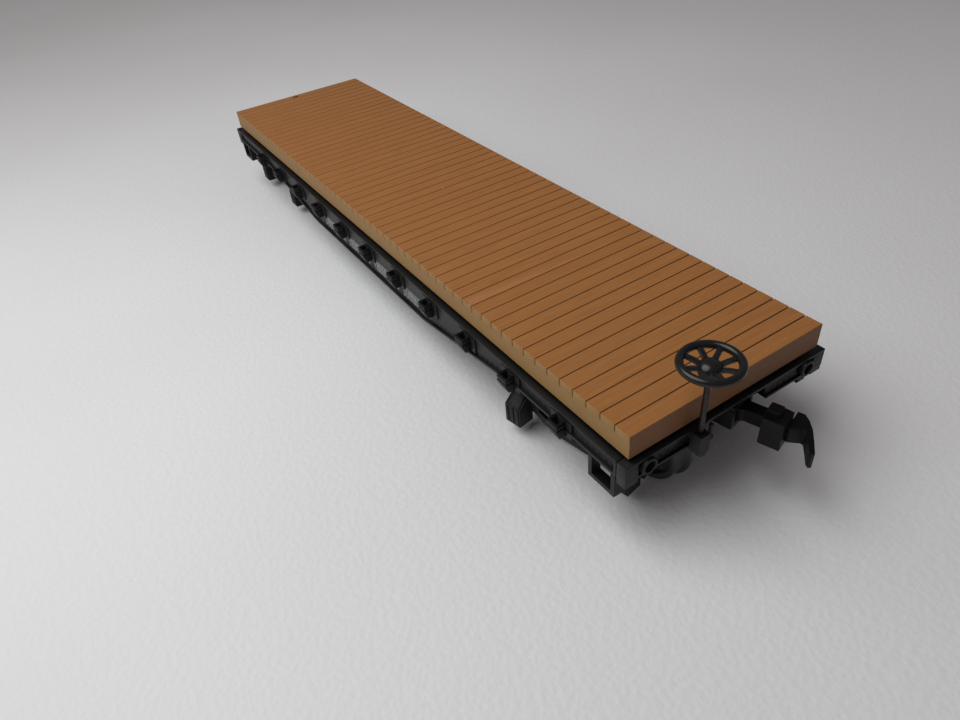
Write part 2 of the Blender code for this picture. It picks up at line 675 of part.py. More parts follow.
def coupler_part(end, hub_empty, swing):
    """Shank, tail, block and the horn that slides along its mate."""
    half = coupler_shank_height / 2
    block_start = head_block[0][0] * MM
    shank = place(f"coupler_{end}", floor_plate([
        (-coupler_tail_length, -coupler_tail_half), (-1.4 * MM, -coupler_tail_half),
        (-0.9 * MM, -1.25 * MM), (0.9 * MM, -1.25 * MM), (1.3 * MM, -coupler_shank_half),
        (block_start + overlap, -coupler_shank_half),
        (block_start + overlap, coupler_shank_half),
        (1.3 * MM, coupler_shank_half), (0.9 * MM, 1.25 * MM), (-0.9 * MM, 1.25 * MM),
        (-1.4 * MM, coupler_tail_half), (-coupler_tail_length, coupler_tail_half)],
        -half, half), truck_black, hub_empty, (coupler_pivot, 0.0, coupler_height), swing)
    combine(shank, [
        floor_plate([(x * MM, y * MM) for x, y in head_block],
                    -coupler_block_height / 2, coupler_block_height / 2),
        floor_plate([(x * MM, y * MM) for x, y in head_knob],
                    0.0, coupler_block_height / 2 + coupler_knob_height),
        floor_plate([(x * MM, y * MM) for x, y in head_horn],
                    -coupler_horn_height / 2, coupler_horn_height / 2)], "UNION")
    combine(shank, [rod_mesh(coupler_pin_radius + running_gap, -half - fit_gap,
                             half + fit_gap, sides=16)], "DIFFERENCE")


def coupler_fittings(end, hub_empty):
    """The tray's lid, and the bronze fork that centres the coupler's tail."""
    lid_half = tray_inner_half + tray_wall
    place(f"coupler_cover_{end}", box_mesh(
        (coupler_pivot - tray_back, -lid_half, tray_top + seat_gap),
        (coupler_pivot + tray_front, lid_half, tray_top + seat_gap + tray_cover_thickness)),
        truck_black, hub_empty)
    back = coupler_pivot - tray_back + tray_wall + seat_gap
    inner, outer = spring_half_gap, spring_half_gap + spring_strip
    fork = [(back, -outer), (back + spring_length, -outer), (back + spring_length, -inner),
            (back + spring_strip, -inner), (back + spring_strip, inner),
            (back + spring_length, inner), (back + spring_length, outer), (back, outer)]
    place(f"coupler_spring_{end}", floor_plate(
        fork, coupler_height - 0.6 * MM, coupler_height + 0.6 * MM), spring_bronze, hub_empty)


for end, heading, swivel, swing in (
        ("near", 0.0, truck_swivel_near, coupler_swing_near),
        ("far", math.pi, truck_swivel_far, coupler_swing_far)):
    direction = 1 if end == "near" else -1
    hub_empty = pivot_empty(f"truck_{end}", origin, (direction * truck_centre, 0.0, 0.0),
                            heading + swivel)
    truck_frame(end, hub_empty)
    coupler_part(end, hub_empty, swing)
    coupler_fittings(end, hub_empty)
    head_low = truck_bolster_bottom - seat_gap - kingpin_head_height
    turned_part(f"kingpin_{end}", [
        (0.0, kingpin_top), (kingpin_radius, kingpin_top),
        (kingpin_radius, head_low + kingpin_head_height),
        (kingpin_head_radius, head_low + kingpin_head_height),
        (kingpin_head_radius, head_low + 0.3 * MM), (0.7 * kingpin_head_radius, head_low),
        (0.0, head_low)], axle_steel, 20, origin, (direction * truck_centre, 0.0, 0.0))
    for position, x in (("outer", side_x), ("inner", -side_x)):
        turned_part(f"axle_{end}_{position}", axle_profile, axle_steel, 16, hub_empty,
                    (x, 0.0, axle_height), lying=True)
        for side, across in (("left", -1), ("right", 1)):
            flip = across * direction
            profile = [(r, flip * z) for r, z in wheel_profile]
            if flip > 0:
                profile.reverse()
            turned_part(f"wheel_{end}_{position}_{side}", profile, wheel_black, 20, hub_empty,
                        (x, 0.0, axle_height), lying=True)
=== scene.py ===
"""Model railway flat car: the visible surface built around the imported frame.

Metres, +Z up. +X is the brake-wheel end ("near"), -Y the left side of the car.
Each section makes one piece, or a group of like pieces, with its own material.
"""
import json
import math
import random

import bmesh
import bpy
from mathutils import Matrix, Vector


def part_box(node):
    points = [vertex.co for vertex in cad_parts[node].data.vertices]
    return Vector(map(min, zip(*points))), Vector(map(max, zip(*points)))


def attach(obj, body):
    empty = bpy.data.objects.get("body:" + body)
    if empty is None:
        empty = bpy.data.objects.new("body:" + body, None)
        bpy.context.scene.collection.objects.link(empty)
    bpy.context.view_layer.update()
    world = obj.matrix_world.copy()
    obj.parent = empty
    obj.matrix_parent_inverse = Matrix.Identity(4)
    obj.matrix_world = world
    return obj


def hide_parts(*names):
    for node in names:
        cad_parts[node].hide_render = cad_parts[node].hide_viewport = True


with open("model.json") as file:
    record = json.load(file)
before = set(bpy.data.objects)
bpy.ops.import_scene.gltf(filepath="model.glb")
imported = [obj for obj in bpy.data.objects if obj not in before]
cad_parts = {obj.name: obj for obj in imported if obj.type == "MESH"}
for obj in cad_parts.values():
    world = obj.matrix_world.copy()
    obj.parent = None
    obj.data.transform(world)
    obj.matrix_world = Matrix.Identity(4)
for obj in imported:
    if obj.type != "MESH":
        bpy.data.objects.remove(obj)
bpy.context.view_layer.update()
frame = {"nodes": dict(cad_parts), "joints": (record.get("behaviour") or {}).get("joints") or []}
MM = 0.001

# ---- camera --------------------------------------------------------------------------
# A wide lens held close above the near left corner, looking along the car.
lens = 26.33                                    # millimetres, on a 36 mm wide frame
standpoint = (0.11133, -0.05630, 0.07563)
tilt_roll_heading = (50.592, 5.170, 56.957)     # degrees
camera_data = bpy.data.cameras.new("camera")
camera_data.sensor_width = 36.0
camera_data.lens = lens
camera_data.clip_start = 0.005
camera = bpy.data.objects.new("camera", camera_data)
camera.location = standpoint
camera.rotation_euler = [math.radians(angle) for angle in tilt_roll_heading]
bpy.context.scene.collection.objects.link(camera)
bpy.context.scene.camera = camera

# ---- table and light -----------------------------------------------------------------
# The car stands on a pale board with a fine leathery grain. A soft lamp hangs close
# over its left side, so the board darkens away from it and the shade falls to the right.
bpy.context.scene.view_settings.view_transform = "Standard"


def select_only(piece):
    bpy.ops.object.select_all(action="DESELECT")
    piece.select_set(True)
    bpy.context.view_layer.objects.active = piece


def new_material(name):
    """An empty node material: its tree, its Principled shader and a short way to add nodes."""
    made = bpy.data.materials.new(name)
    made.use_nodes = True
    tree = made.node_tree
    return made, tree, tree.nodes["Principled BSDF"]


def node(tree, kind, **settings):
    made = tree.nodes.new(kind)
    for key, value in settings.items():
        setattr(made, key, value)
    return made


table_size = 6.0
table_gap = 0.02 * MM                           # keeps the wheels clear of the board
bpy.ops.object.select_all(action="DESELECT")
bpy.ops.mesh.primitive_plane_add(size=table_size, location=(0.0, 0.0, -table_gap))
table = bpy.context.object
table.name = "table"
bpy.ops.object.transform_apply(location=True, rotation=False, scale=False)
board, tree, shader = new_material("pebbled_board")
place = node(tree, "ShaderNodeTexCoord")
pebble = node(tree, "ShaderNodeTexVoronoi", feature="SMOOTH_F1")
pebble.inputs["Scale"].default_value = 1250.0
pebble.inputs["Smoothness"].default_value = 0.5
fibre = node(tree, "ShaderNodeTexNoise")
fibre.inputs["Scale"].default_value = 1100.0
fibre.inputs["Detail"].default_value = 6.0
mottle = node(tree, "ShaderNodeTexNoise")
mottle.inputs["Scale"].default_value = 9.0
mottle.inputs["Detail"].default_value = 2.0
tint = node(tree, "ShaderNodeValToRGB")
tint.color_ramp.elements[0].position = 0.35
tint.color_ramp.elements[0].color = (0.72, 0.715, 0.715, 1.0)
tint.color_ramp.elements[1].position = 0.7
tint.color_ramp.elements[1].color = (0.76, 0.76, 0.76, 1.0)
relief = node(tree, "ShaderNodeMath", operation="ADD")
bump = node(tree, "ShaderNodeBump")
bump.inputs["Strength"].default_value = 0.22
bump.inputs["Distance"].default_value = 0.00025
for texture in (pebble, fibre, mottle):
    tree.links.new(place.outputs["Object"], texture.inputs["Vector"])
tree.links.new(pebble.outputs["Distance"], relief.inputs[0])
tree.links.new(fibre.outputs["Fac"], relief.inputs[1])
tree.links.new(relief.outputs[0], bump.inputs["Height"])
tree.links.new(bump.outputs["Normal"], shader.inputs["Normal"])
tree.links.new(mottle.outputs["Fac"], tint.inputs["Fac"])
tree.links.new(tint.outputs["Color"], shader.inputs["Base Color"])
shader.inputs["Roughness"].default_value = 0.6
shader.inputs["Specular IOR Level"].default_value = 0.3
table.data.materials.append(board)

world = bpy.data.worlds.new("room")
world.use_nodes = True
world.node_tree.nodes["Background"].inputs["Color"].default_value = (1.0, 0.92, 0.94, 1.0)
world.node_tree.nodes["Background"].inputs["Strength"].default_value = 0.18
bpy.context.scene.world = world


def soft_light(name, size, power, colour, location, target):
    """An area light that faces a point."""
    data = bpy.data.lights.new(name, "AREA")
    data.shape = "DISK"
    data.size = size
    data.energy = power
    data.color = colour
    light = bpy.data.objects.new(name, data)
    light.location = location
    aim = Vector(target) - Vector(location)
    light.rotation_euler = aim.to_track_quat("-Z", "Y").to_euler()
    bpy.context.scene.collection.objects.link(light)


soft_light("lamp", size=0.25, power=0.4, colour=(0.96, 0.995, 1.0),
           location=(-0.012, -0.125, 0.205), target=(0.0, -0.02, 0.0))
soft_light("ceiling", size=0.8, power=1.8, colour=(1.0, 0.96, 0.955),
           location=(-0.3, -0.3, 0.8), target=(0.0, 0.0, 0.0))

# ---- plank deck ----------------------------------------------------------------------
# One brown moulding of planks laid across the car, with fine grain along each
# plank, joints that wrap over the edge, and a hollow below for the weight.


def block(name, low, high):
    """A cube stretched between two corners, with its place in its mesh."""
    bpy.ops.object.select_all(action="DESELECT")
    low, high = [min(a, b) for a, b in zip(low, high)], [max(a, b) for a, b in zip(low, high)]
    middle = [(a + b) / 2 for a, b in zip(low, high)]
    size = [b - a for a, b in zip(low, high)]
    bpy.ops.mesh.primitive_cube_add(size=1.0, location=middle, scale=size)
    bpy.ops.object.transform_apply(location=True, rotation=False, scale=True)
    bpy.context.object.name = name
    return bpy.context.object


def edit(piece):
    select_only(piece)
    bpy.ops.object.mode_set(mode="EDIT")


def done():
    bpy.ops.object.mode_set(mode="OBJECT")


def pick(test, kind="FACE"):
    """In edit mode, selects the faces, edges or corners whose place and normal pass a test."""
    bpy.ops.mesh.select_mode(type=kind)
    bpy.ops.mesh.select_all(action="DESELECT")
    cage = bmesh.from_edit_mesh(bpy.context.object.data)
    if kind == "FACE":
        chosen = [f for f in cage.faces if test(f.calc_center_median(), f.normal)]
    elif kind == "EDGE":
        chosen = [e for e in cage.edges if test((e.verts[0].co + e.verts[1].co) / 2,
                                                (e.verts[1].co - e.verts[0].co).normalized())]
    else:
        chosen = [v for v in cage.verts if test(v.co, v.normal)]
    for item in chosen:
        item.select_set(True)
    cage.select_flush_mode()
    bmesh.update_edit_mesh(bpy.context.object.data)
    return len(chosen)


def cut(at, facing):
    """In edit mode, slices the whole piece by a plane and keeps both halves."""
    bpy.ops.mesh.select_mode(type="FACE")
    bpy.ops.mesh.select_all(action="SELECT")
    bpy.ops.mesh.bisect(plane_co=at, plane_no=facing)


def move(x=0.0, y=0.0, z=0.0):
    bpy.ops.transform.translate(value=(x, y, z))


def modify(piece, kind, **settings):
    """Adds a modifier and applies it at once."""
    select_only(piece)
    step = piece.modifiers.new(kind.lower(), kind)
    for key, value in settings.items():
        setattr(step, key, value)
    bpy.ops.object.modifier_apply(modifier=step.name)


def carve(piece, tool, operation="DIFFERENCE"):
    modify(piece, "BOOLEAN", operation=operation, solver="EXACT", object=tool)
    bpy.data.objects.remove(tool)


def round_edges(piece, width, segments=2, angle=35.0):
    modify(piece, "BEVEL", width=width, segments=segments, limit_method="ANGLE",
           angle_limit=math.radians(angle), use_clamp_overlap=True)
    select_only(piece)
    bpy.ops.object.shade_smooth_by_angle(angle=math.radians(40.0))


def near(a, b, reach=0.00002):
    return abs(a - b) < reach


deck_low, deck_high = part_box("deck")
board_thickness = 3.6 * MM
deck_bottom = deck_high.z - board_thickness
car_x = (deck_low.x + deck_high.x) / 2          # the car's middle, where its frame is even
plank_count = 56
plank = (deck_high.x - deck_low.x) / plank_count
groove_half = 0.1 * MM
groove_depth = 0.3 * MM
notch_in = 0.18 * MM                            # how deep a joint shows in the deck's edge
notch_full = 0.95 * MM                          # and how far down it runs
notch_end = 1.25 * MM

deck = block("plank_deck", (deck_low.x, deck_low.y, deck_bottom),
             (deck_low.x + plank, deck_high.y, deck_high.z))
edit(deck)
cut((deck_low.x + groove_half, 0.0, 0.0), (1.0, 0.0, 0.0))
cut((deck_low.x + plank - groove_half, 0.0, 0.0), (1.0, 0.0, 0.0))
cut((0.0, 0.0, deck_high.z - notch_full), (0.0, 0.0, 1.0))
cut((0.0, 0.0, deck_high.z - notch_end), (0.0, 0.0, 1.0))
pick(lambda at, normal: abs(normal.x) > 0.9)
bpy.ops.mesh.delete(type="FACE")


def in_joint(x):
    return near(x, deck_low.x) or near(x, deck_low.x + plank)


pick(lambda at, normal: in_joint(at.x) and near(at.z, deck_high.z), "VERT")
move(z=-groove_depth)
for side in (-1, 1):
    edge = deck_low.y if side < 0 else deck_high.y
    pick(lambda at, normal: in_joint(at.x) and near(at.y, edge)
         and at.z > deck_high.z - notch_full - 0.00002, "VERT")
    move(y=-side * notch_in)
done()
modify(deck, "ARRAY", count=plank_count, use_merge_vertices=True, merge_threshold=1e-6)

edit(deck)                                      # the two outer planks end square
for end in (deck_low.x, deck_high.x):
    pick(lambda at, normal: near(at.x, end) and near(at.z, deck_high.z - groove_depth), "VERT")
    move(z=groove_depth)
    for side in (-1, 1):
        edge = side * (deck_high.y - notch_in)
        pick(lambda at, normal: near(at.x, end) and near(at.y, edge), "VERT")
        move(y=side * notch_in)
bpy.ops.mesh.select_mode(type="EDGE")
bpy.ops.mesh.select_all(action="DESELECT")
bpy.ops.mesh.select_non_manifold()
bpy.ops.mesh.fill_holes(sides=0)
bpy.ops.mesh.select_all(action="SELECT")
bpy.ops.mesh.normals_make_consistent(inside=False)
done()

weight_low, weight_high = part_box("weight")
hollow_gap = 0.25 * MM
carve(deck, block("hollow", (weight_low.x - hollow_gap, weight_low.y - hollow_gap,
                             deck_bottom - MM),
                  (weight_high.x + hollow_gap, weight_high.y + hollow_gap,
                   weight_high.z + hollow_gap)))
slot_x = deck_low.x + plank / 2                 # a short slot in the far plank
slot_half = 0.45 * MM
slot_start, slot_stop = -1.75 * MM, -0.3 * MM
slot_depth = 1.2 * MM
carve(deck, block("slot", (slot_x - slot_half, slot_start, deck_high.z - slot_depth),
                  (slot_x + slot_half, slot_stop, deck_high.z + MM)))
edge_chips = (                                  # place and size, mm from the car's middle
    (37.6, -16.5, 17.75, 0.42), (38.35, -16.62, 17.3, 0.3), (37.0, -16.75, 17.0, 0.34),
    (-34.8, -16.42, 17.85, 0.26), (-36.2, -16.45, 17.9, 0.2))
for chip_x, chip_y, chip_z, chip_size in edge_chips:
    bpy.ops.object.select_all(action="DESELECT")
    bpy.ops.mesh.primitive_ico_sphere_add(
        subdivisions=1, radius=chip_size * MM,
        location=(car_x + chip_x * MM, chip_y * MM, chip_z * MM))
    chip = bpy.context.object
    chip.scale = (1.7, 0.8, 0.7)
    carve(deck, chip)
round_edges(deck, 0.045 * MM, 1)
peg_radius = 0.6 * MM                           # four pegs hold the deck in the floor
peg_top = deck_bottom + 0.2 * MM
for peg_x in (-35.0 * MM, 35.0 * MM):
    for peg_y in (-14.5 * MM, 14.5 * MM):
        bpy.ops.object.select_all(action="DESELECT")
        bpy.ops.mesh.primitive_cylinder_add(
            vertices=24, radius=peg_radius, depth=peg_top - deck_low.z,
            location=(car_x + peg_x, peg_y, (peg_top + deck_low.z) / 2))
        peg = bpy.context.object
        bpy.ops.object.transform_apply(location=True, rotation=False, scale=False)
        carve(deck, peg, "UNION")

grain = bpy.data.node_groups.new("drawn_grain", "ShaderNodeTree")
for name, usual in (("Along", 150.0), ("Across", 2600.0)):
    socket = grain.interface.new_socket(name=name, in_out="INPUT",
                                        socket_type="NodeSocketFloat")
    socket.default_value = usual
grain.interface.new_socket(name="Streaks", in_out="OUTPUT", socket_type="NodeSocketFloat")
grain.interface.new_socket(name="Fine", in_out="OUTPUT", socket_type="NodeSocketFloat")
group_in = grain.nodes.new("NodeGroupInput")
group_out = grain.nodes.new("NodeGroupOutput")
spot = grain.nodes.new("ShaderNodeTexCoord")
stretch = grain.nodes.new("ShaderNodeCombineXYZ")
scaled = node(grain, "ShaderNodeVectorMath", operation="MULTIPLY")
streaks = grain.nodes.new("ShaderNodeTexNoise")
streaks.inputs["Scale"].default_value = 1.0
streaks.inputs["Detail"].default_value = 5.0
streaks.inputs["Roughness"].default_value = 0.62
streaks.inputs["Distortion"].default_value = 0.25
fine = grain.nodes.new("ShaderNodeTexNoise")
fine.inputs["Scale"].default_value = 9000.0
fine.inputs["Detail"].default_value = 3.0
grain.links.new(group_in.outputs["Across"], stretch.inputs[0])
grain.links.new(group_in.outputs["Along"], stretch.inputs[1])
grain.links.new(group_in.outputs["Across"], stretch.inputs[2])
grain.links.new(spot.outputs["Object"], scaled.inputs[0])
grain.links.new(stretch.outputs[0], scaled.inputs[1])
grain.links.new(scaled.outputs[0], streaks.inputs["Vector"])
grain.links.new(spot.outputs["Object"], fine.inputs["Vector"])
grain.links.new(streaks.outputs["Fac"], group_out.inputs["Streaks"])
grain.links.new(fine.outputs["Fac"], group_out.inputs["Fine"])

specks = bpy.data.node_groups.new("dust_specks", "ShaderNodeTree")
for name, usual in (("Spacing", 420.0), ("Size", 0.16), ("Share", 0.06)):
    socket = specks.interface.new_socket(name=name, in_out="INPUT",
                                         socket_type="NodeSocketFloat")
    socket.default_value = usual
specks.interface.new_socket(name="Mask", in_out="OUTPUT", socket_type="NodeSocketFloat")
group_in = specks.nodes.new("NodeGroupInput")
group_out = specks.nodes.new("NodeGroupOutput")
spot = specks.nodes.new("ShaderNodeTexCoord")
cells = specks.nodes.new("ShaderNodeTexVoronoi")
apart = specks.nodes.new("ShaderNodeSeparateColor")
small = node(specks, "ShaderNodeMath", operation="LESS_THAN")
few = node(specks, "ShaderNodeMath", operation="LESS_THAN")
both = node(specks, "ShaderNodeMath", operation="MULTIPLY")
specks.links.new(spot.outputs["Object"], cells.inputs["Vector"])
specks.links.new(group_in.outputs["Spacing"], cells.inputs["Scale"])
specks.links.new(cells.outputs["Distance"], small.inputs[0])
specks.links.new(group_in.outputs["Size"], small.inputs[1])
specks.links.new(cells.outputs["Color"], apart.inputs[0])
specks.links.new(apart.outputs[0], few.inputs[0])
specks.links.new(group_in.outputs["Share"], few.inputs[1])
specks.links.new(small.outputs[0], both.inputs[0])
specks.links.new(few.outputs[0], both.inputs[1])
specks.links.new(both.outputs[0], group_out.inputs["Mask"])


def use_group(tree, group, **values):
    made = tree.nodes.new("ShaderNodeGroup")
    made.node_tree = group
    for key, value in values.items():
        made.inputs[key].default_value = value
    return made


def mix_colours(tree, factor, first, second, blend="MIX"):
    """A colour mix; each side is a socket or a plain colour."""
    made = node(tree, "ShaderNodeMix", data_type="RGBA", blend_type=blend)
    for value, slot in ((factor, 0), (first, 6), (second, 7)):
        if isinstance(value, bpy.types.NodeSocket):
            tree.links.new(value, made.inputs[slot])
        elif slot == 0:
            made.inputs[slot].default_value = value
        else:
            made.inputs[slot].default_value = (*value, 1.0)
    return made.outputs[2]


def remap(tree, value, low, high, to_low, to_high):
    """A socket's values stretched from one span to another and held inside it."""
    made = node(tree, "ShaderNodeMapRange", clamp=True)
    tree.links.new(value, made.inputs["Value"])
    for key, number in (("From Min", low), ("From Max", high),
                        ("To Min", to_low), ("To Max", to_high)):
        made.inputs[key].default_value = number
    return made.outputs[0]


brown_deep, brown_light = (0.29, 0.115, 0.029), (0.356, 0.148, 0.0405)
brown_plank = (0.295, 0.118, 0.03)              # what some planks lean towards
# painted light: the deck's long sides take a paler, greyer brown as if lit by the lamp
lit_side_brown = (0.3, 0.17, 0.059)
# painted shade: the deck's end faces take a darker brown as if in shade
shaded_end_brown = (0.21, 0.093, 0.038)
brown_joint = (0.13, 0.055, 0.018)
pale_dust = (0.6, 0.52, 0.42)
deck_brown, tree, shader = new_material("deck_brown")
streak = use_group(tree, grain, Along=150.0, Across=2400.0)
place = node(tree, "ShaderNodeTexCoord")
shade = remap(tree, streak.outputs["Streaks"], 0.32, 0.68, 0.0, 1.0)
brown = mix_colours(tree, shade, brown_deep, brown_light)
split = node(tree, "ShaderNodeSeparateXYZ")
tree.links.new(place.outputs["Object"], split.inputs[0])
from_end = node(tree, "ShaderNodeMath", operation="SUBTRACT")
from_end.inputs[1].default_value = deck_low.x
in_planks = node(tree, "ShaderNodeMath", operation="DIVIDE")
in_planks.inputs[1].default_value = plank
tree.links.new(split.outputs["X"], from_end.inputs[0])
tree.links.new(from_end.outputs[0], in_planks.inputs[0])
plank_number = node(tree, "ShaderNodeMath", operation="FLOOR")
tree.links.new(in_planks.outputs[0], plank_number.inputs[0])
plank_tone = node(tree, "ShaderNodeTexWhiteNoise", noise_dimensions="1D")
tree.links.new(plank_number.outputs[0], plank_tone.inputs["W"])
tone = remap(tree, plank_tone.outputs["Value"], 0.0, 1.0, 0.0, 0.35)
brown = mix_colours(tree, tone, brown, brown_plank)
facing = node(tree, "ShaderNodeSeparateXYZ")
tree.links.new(place.outputs["Normal"], facing.inputs[0])
sideways = node(tree, "ShaderNodeMath", operation="ABSOLUTE")
tree.links.new(facing.outputs["Y"], sideways.inputs[0])
# painted light: faces turned sideways are made paler and greyer as if lit by the lamp
painted_light_on_side = remap(tree, sideways.outputs[0], 0.55, 0.85, 0.0, 1.0)
brown = mix_colours(tree, painted_light_on_side, brown, lit_side_brown)
to_joint = node(tree, "ShaderNodeMath", operation="PINGPONG")
to_joint.inputs[1].default_value = 0.5
tree.links.new(in_planks.outputs[0], to_joint.inputs[0])
in_groove = remap(tree, to_joint.outputs[0], 0.02, 0.045, 1.0, 0.0)
above = remap(tree, split.outputs["Z"], deck_high.z - notch_full - 0.2 * MM,
              deck_high.z - notch_full + 0.05 * MM, 0.0, 1.0)
# painted shade: faces turned endways are made darker as if in shade
endways = node(tree, "ShaderNodeMath", operation="ABSOLUTE")
tree.links.new(facing.outputs["X"], endways.inputs[0])
painted_shade_on_end = remap(tree, endways.outputs[0], 0.97, 0.99, 0.0, 1.0)
brown = mix_colours(tree, painted_shade_on_end, brown, shaded_end_brown)
off_shaded_end = remap(tree, painted_shade_on_end, 0.0, 1.0, 1.0, 0.0)
joint_top = node(tree, "ShaderNodeMath", operation="MULTIPLY")
tree.links.new(above, joint_top.inputs[0])
tree.links.new(off_shaded_end, joint_top.inputs[1])
dark_joint = node(tree, "ShaderNodeMath", operation="MULTIPLY")
tree.links.new(in_groove, dark_joint.inputs[0])
tree.links.new(joint_top.outputs[0], dark_joint.inputs[1])
brown = mix_colours(tree, dark_joint.outputs[0], brown, brown_joint)
dust = use_group(tree, specks, Spacing=480.0, Size=0.06, Share=0.035)
brown = mix_colours(tree, dust.outputs["Mask"], brown, pale_dust)
tree.links.new(brown, shader.inputs["Base Color"])
gloss = remap(tree, streak.outputs["Fine"], 0.3, 0.7, 0.5, 0.62)
tree.links.new(gloss, shader.inputs["Roughness"])
shader.inputs["Specular IOR Level"].default_value = 0.3
relief = node(tree, "ShaderNodeMath", operation="MULTIPLY_ADD")
relief.inputs[1].default_value = 0.35
tree.links.new(streak.outputs["Fine"], relief.inputs[0])
tree.links.new(streak.outputs["Streaks"], relief.inputs[2])
bump = node(tree, "ShaderNodeBump")
bump.inputs["Strength"].default_value = 0.3
bump.inputs["Distance"].default_value = 0.00006
tree.links.new(relief.outputs[0], bump.inputs["Height"])
tree.links.new(bump.outputs["Normal"], shader.inputs["Normal"])


def fit(piece, body, slot, finish, *replaced):
    """Gives a finished piece its material and its body, and hides the CAD nodes that it stands
    for.
    """
    piece.data.materials.clear()
    piece.data.materials.append(finish)
    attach(piece, body)
    if replaced:
        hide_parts(*replaced)


fit(deck, "car_body", "deck_brown_plastic", deck_brown, "deck")

# ---- black mouldings kept from the frame ---------------------------------------------
# Floor, stirrup steps, brake bracket, coupler parts and truck frames are moulded in
# black; their edges are slightly rounded and their corners rubbed a little grey.
wear = bpy.data.node_groups.new("rubbed_edges", "ShaderNodeTree")
for name, usual in (("Start", 0.53), ("Full", 0.62)):
    socket = wear.interface.new_socket(name=name, in_out="INPUT", socket_type="NodeSocketFloat")
    socket.default_value = usual
wear.interface.new_socket(name="Mask", in_out="OUTPUT", socket_type="NodeSocketFloat")
group_in = wear.nodes.new("NodeGroupInput")
group_out = wear.nodes.new("NodeGroupOutput")
surface = wear.nodes.new("ShaderNodeNewGeometry")
span = node(wear, "ShaderNodeMapRange", clamp=True)
spot = wear.nodes.new("ShaderNodeTexCoord")
patch = wear.nodes.new("ShaderNodeTexNoise")
patch.inputs["Scale"].default_value = 700.0
patchy = node(wear, "ShaderNodeMath", operation="MULTIPLY")
wear.links.new(surface.outputs["Pointiness"], span.inputs["Value"])
wear.links.new(group_in.outputs["Start"], span.inputs["From Min"])
wear.links.new(group_in.outputs["Full"], span.inputs["From Max"])
wear.links.new(spot.outputs["Object"], patch.inputs["Vector"])
wear.links.new(span.outputs[0], patchy.inputs[0])
wear.links.new(patch.outputs["Fac"], patchy.inputs[1])
wear.links.new(patchy.outputs[0], group_out.inputs["Mask"])


def black_moulding(name, base, worn, rough, shine, web=None):
    """Black plastic with a fine mould texture, pale dust and rubbed corners.

    A web, given by its distance from the middle and its colour, is painted paler than what is
    around it as painted light, and faces that look up are painted darker as painted shade.
    """
    made, tree, shader = new_material(name)
    texture = use_group(tree, grain, Along=1800.0, Across=1800.0)
    shade = remap(tree, texture.outputs["Streaks"], 0.3, 0.7, 0.0, 1.0)
    colour = mix_colours(tree, shade, base, [1.7 * c for c in base])
    rubbed = use_group(tree, wear)
    colour = mix_colours(tree, rubbed.outputs["Mask"], colour, worn)
    place = node(tree, "ShaderNodeTexCoord")
    facing = node(tree, "ShaderNodeSeparateXYZ")
    tree.links.new(place.outputs["Normal"], facing.inputs[0])
    # painted light: the web is made paler as if lit by the lamp
    if web:
        split = node(tree, "ShaderNodeSeparateXYZ")
        tree.links.new(place.outputs["Object"], split.inputs[0])
        middle_gap = node(tree, "ShaderNodeMath", operation="ABSOLUTE")
        tree.links.new(split.outputs["Y"], middle_gap.inputs[0])
        painted_light_web = node(tree, "ShaderNodeMath", operation="COMPARE")
        painted_light_web.inputs[1].default_value = web[0]
        painted_light_web.inputs[2].default_value = 0.08 * MM
        tree.links.new(middle_gap.outputs[0], painted_light_web.inputs[0])
        colour = mix_colours(tree, painted_light_web.outputs[0], colour, web[1])
    # painted shade: faces that look up are darkened as if shaded by the deck above
    painted_shade_upward = remap(tree, facing.outputs["Z"], 0.7, 0.95, 0.0, 1.0)
    colour = mix_colours(tree, painted_shade_upward, colour, [0.3 * c for c in base])
    dust = use_group(tree, specks, Spacing=520.0, Size=0.08, Share=0.04)
    grey_dust = (0.3, 0.29, 0.27)
    colour = mix_colours(tree, dust.outputs["Mask"], colour, grey_dust)
    tree.links.new(colour, shader.inputs["Base Color"])
    gloss = remap(tree, texture.outputs["Fine"], 0.3, 0.7, rough - 0.06, rough + 0.08)
    shader.inputs["Specular IOR Level"].default_value = shine
    tree.links.new(gloss, shader.inputs["Roughness"])
    bump = node(tree, "ShaderNodeBump")
    bump.inputs["Strength"].default_value = 0.3
    bump.inputs["Distance"].default_value = 0.00004
    tree.links.new(texture.outputs["Streaks"], bump.inputs["Height"])
    tree.links.new(bump.outputs["Normal"], shader.inputs["Normal"])
    return made


frame_black = black_moulding("frame_black", base=(0.008, 0.0078, 0.0078),
                             worn=(0.035, 0.035, 0.035), rough=0.46, shine=0.22)
truck_black = black_moulding("truck_black", base=(0.005, 0.005, 0.0052),
                             worn=(0.025, 0.025, 0.025), rough=0.42, shine=0.15)


def dress(name, finish, edge):
    """A CAD node keeps its mesh and gets rounded edges and a real finish."""
    kept = frame["nodes"][name]
    kept.data.materials.clear()
    kept.data.materials.append(finish)
    weld = kept.modifiers.new("weld", "WELD")
    weld.merge_threshold = 1e-6
    if edge:
        rounded = kept.modifiers.new("rounded", "BEVEL")
        rounded.width = edge
        rounded.segments = 2
        rounded.limit_method = "ANGLE"
        rounded.angle_limit = math.radians(40.0)


dress("underframe", frame_black, 0.06 * MM)
dress("brake_bracket", frame_black, 0.12 * MM)
dress("air_pipe", frame_black, 0.0)
for end in ("near", "far"):
    for side in ("left", "right"):
        dress(f"stirrup_{end}_{side}", frame_black, 0.1 * MM)
    dress(f"truck_frame_{end}", truck_black, 0.07 * MM)
    dress(f"coupler_cover_{end}", truck_black, 0.1 * MM)
    dress(f"coupler_{end}", truck_black, 0.1 * MM)

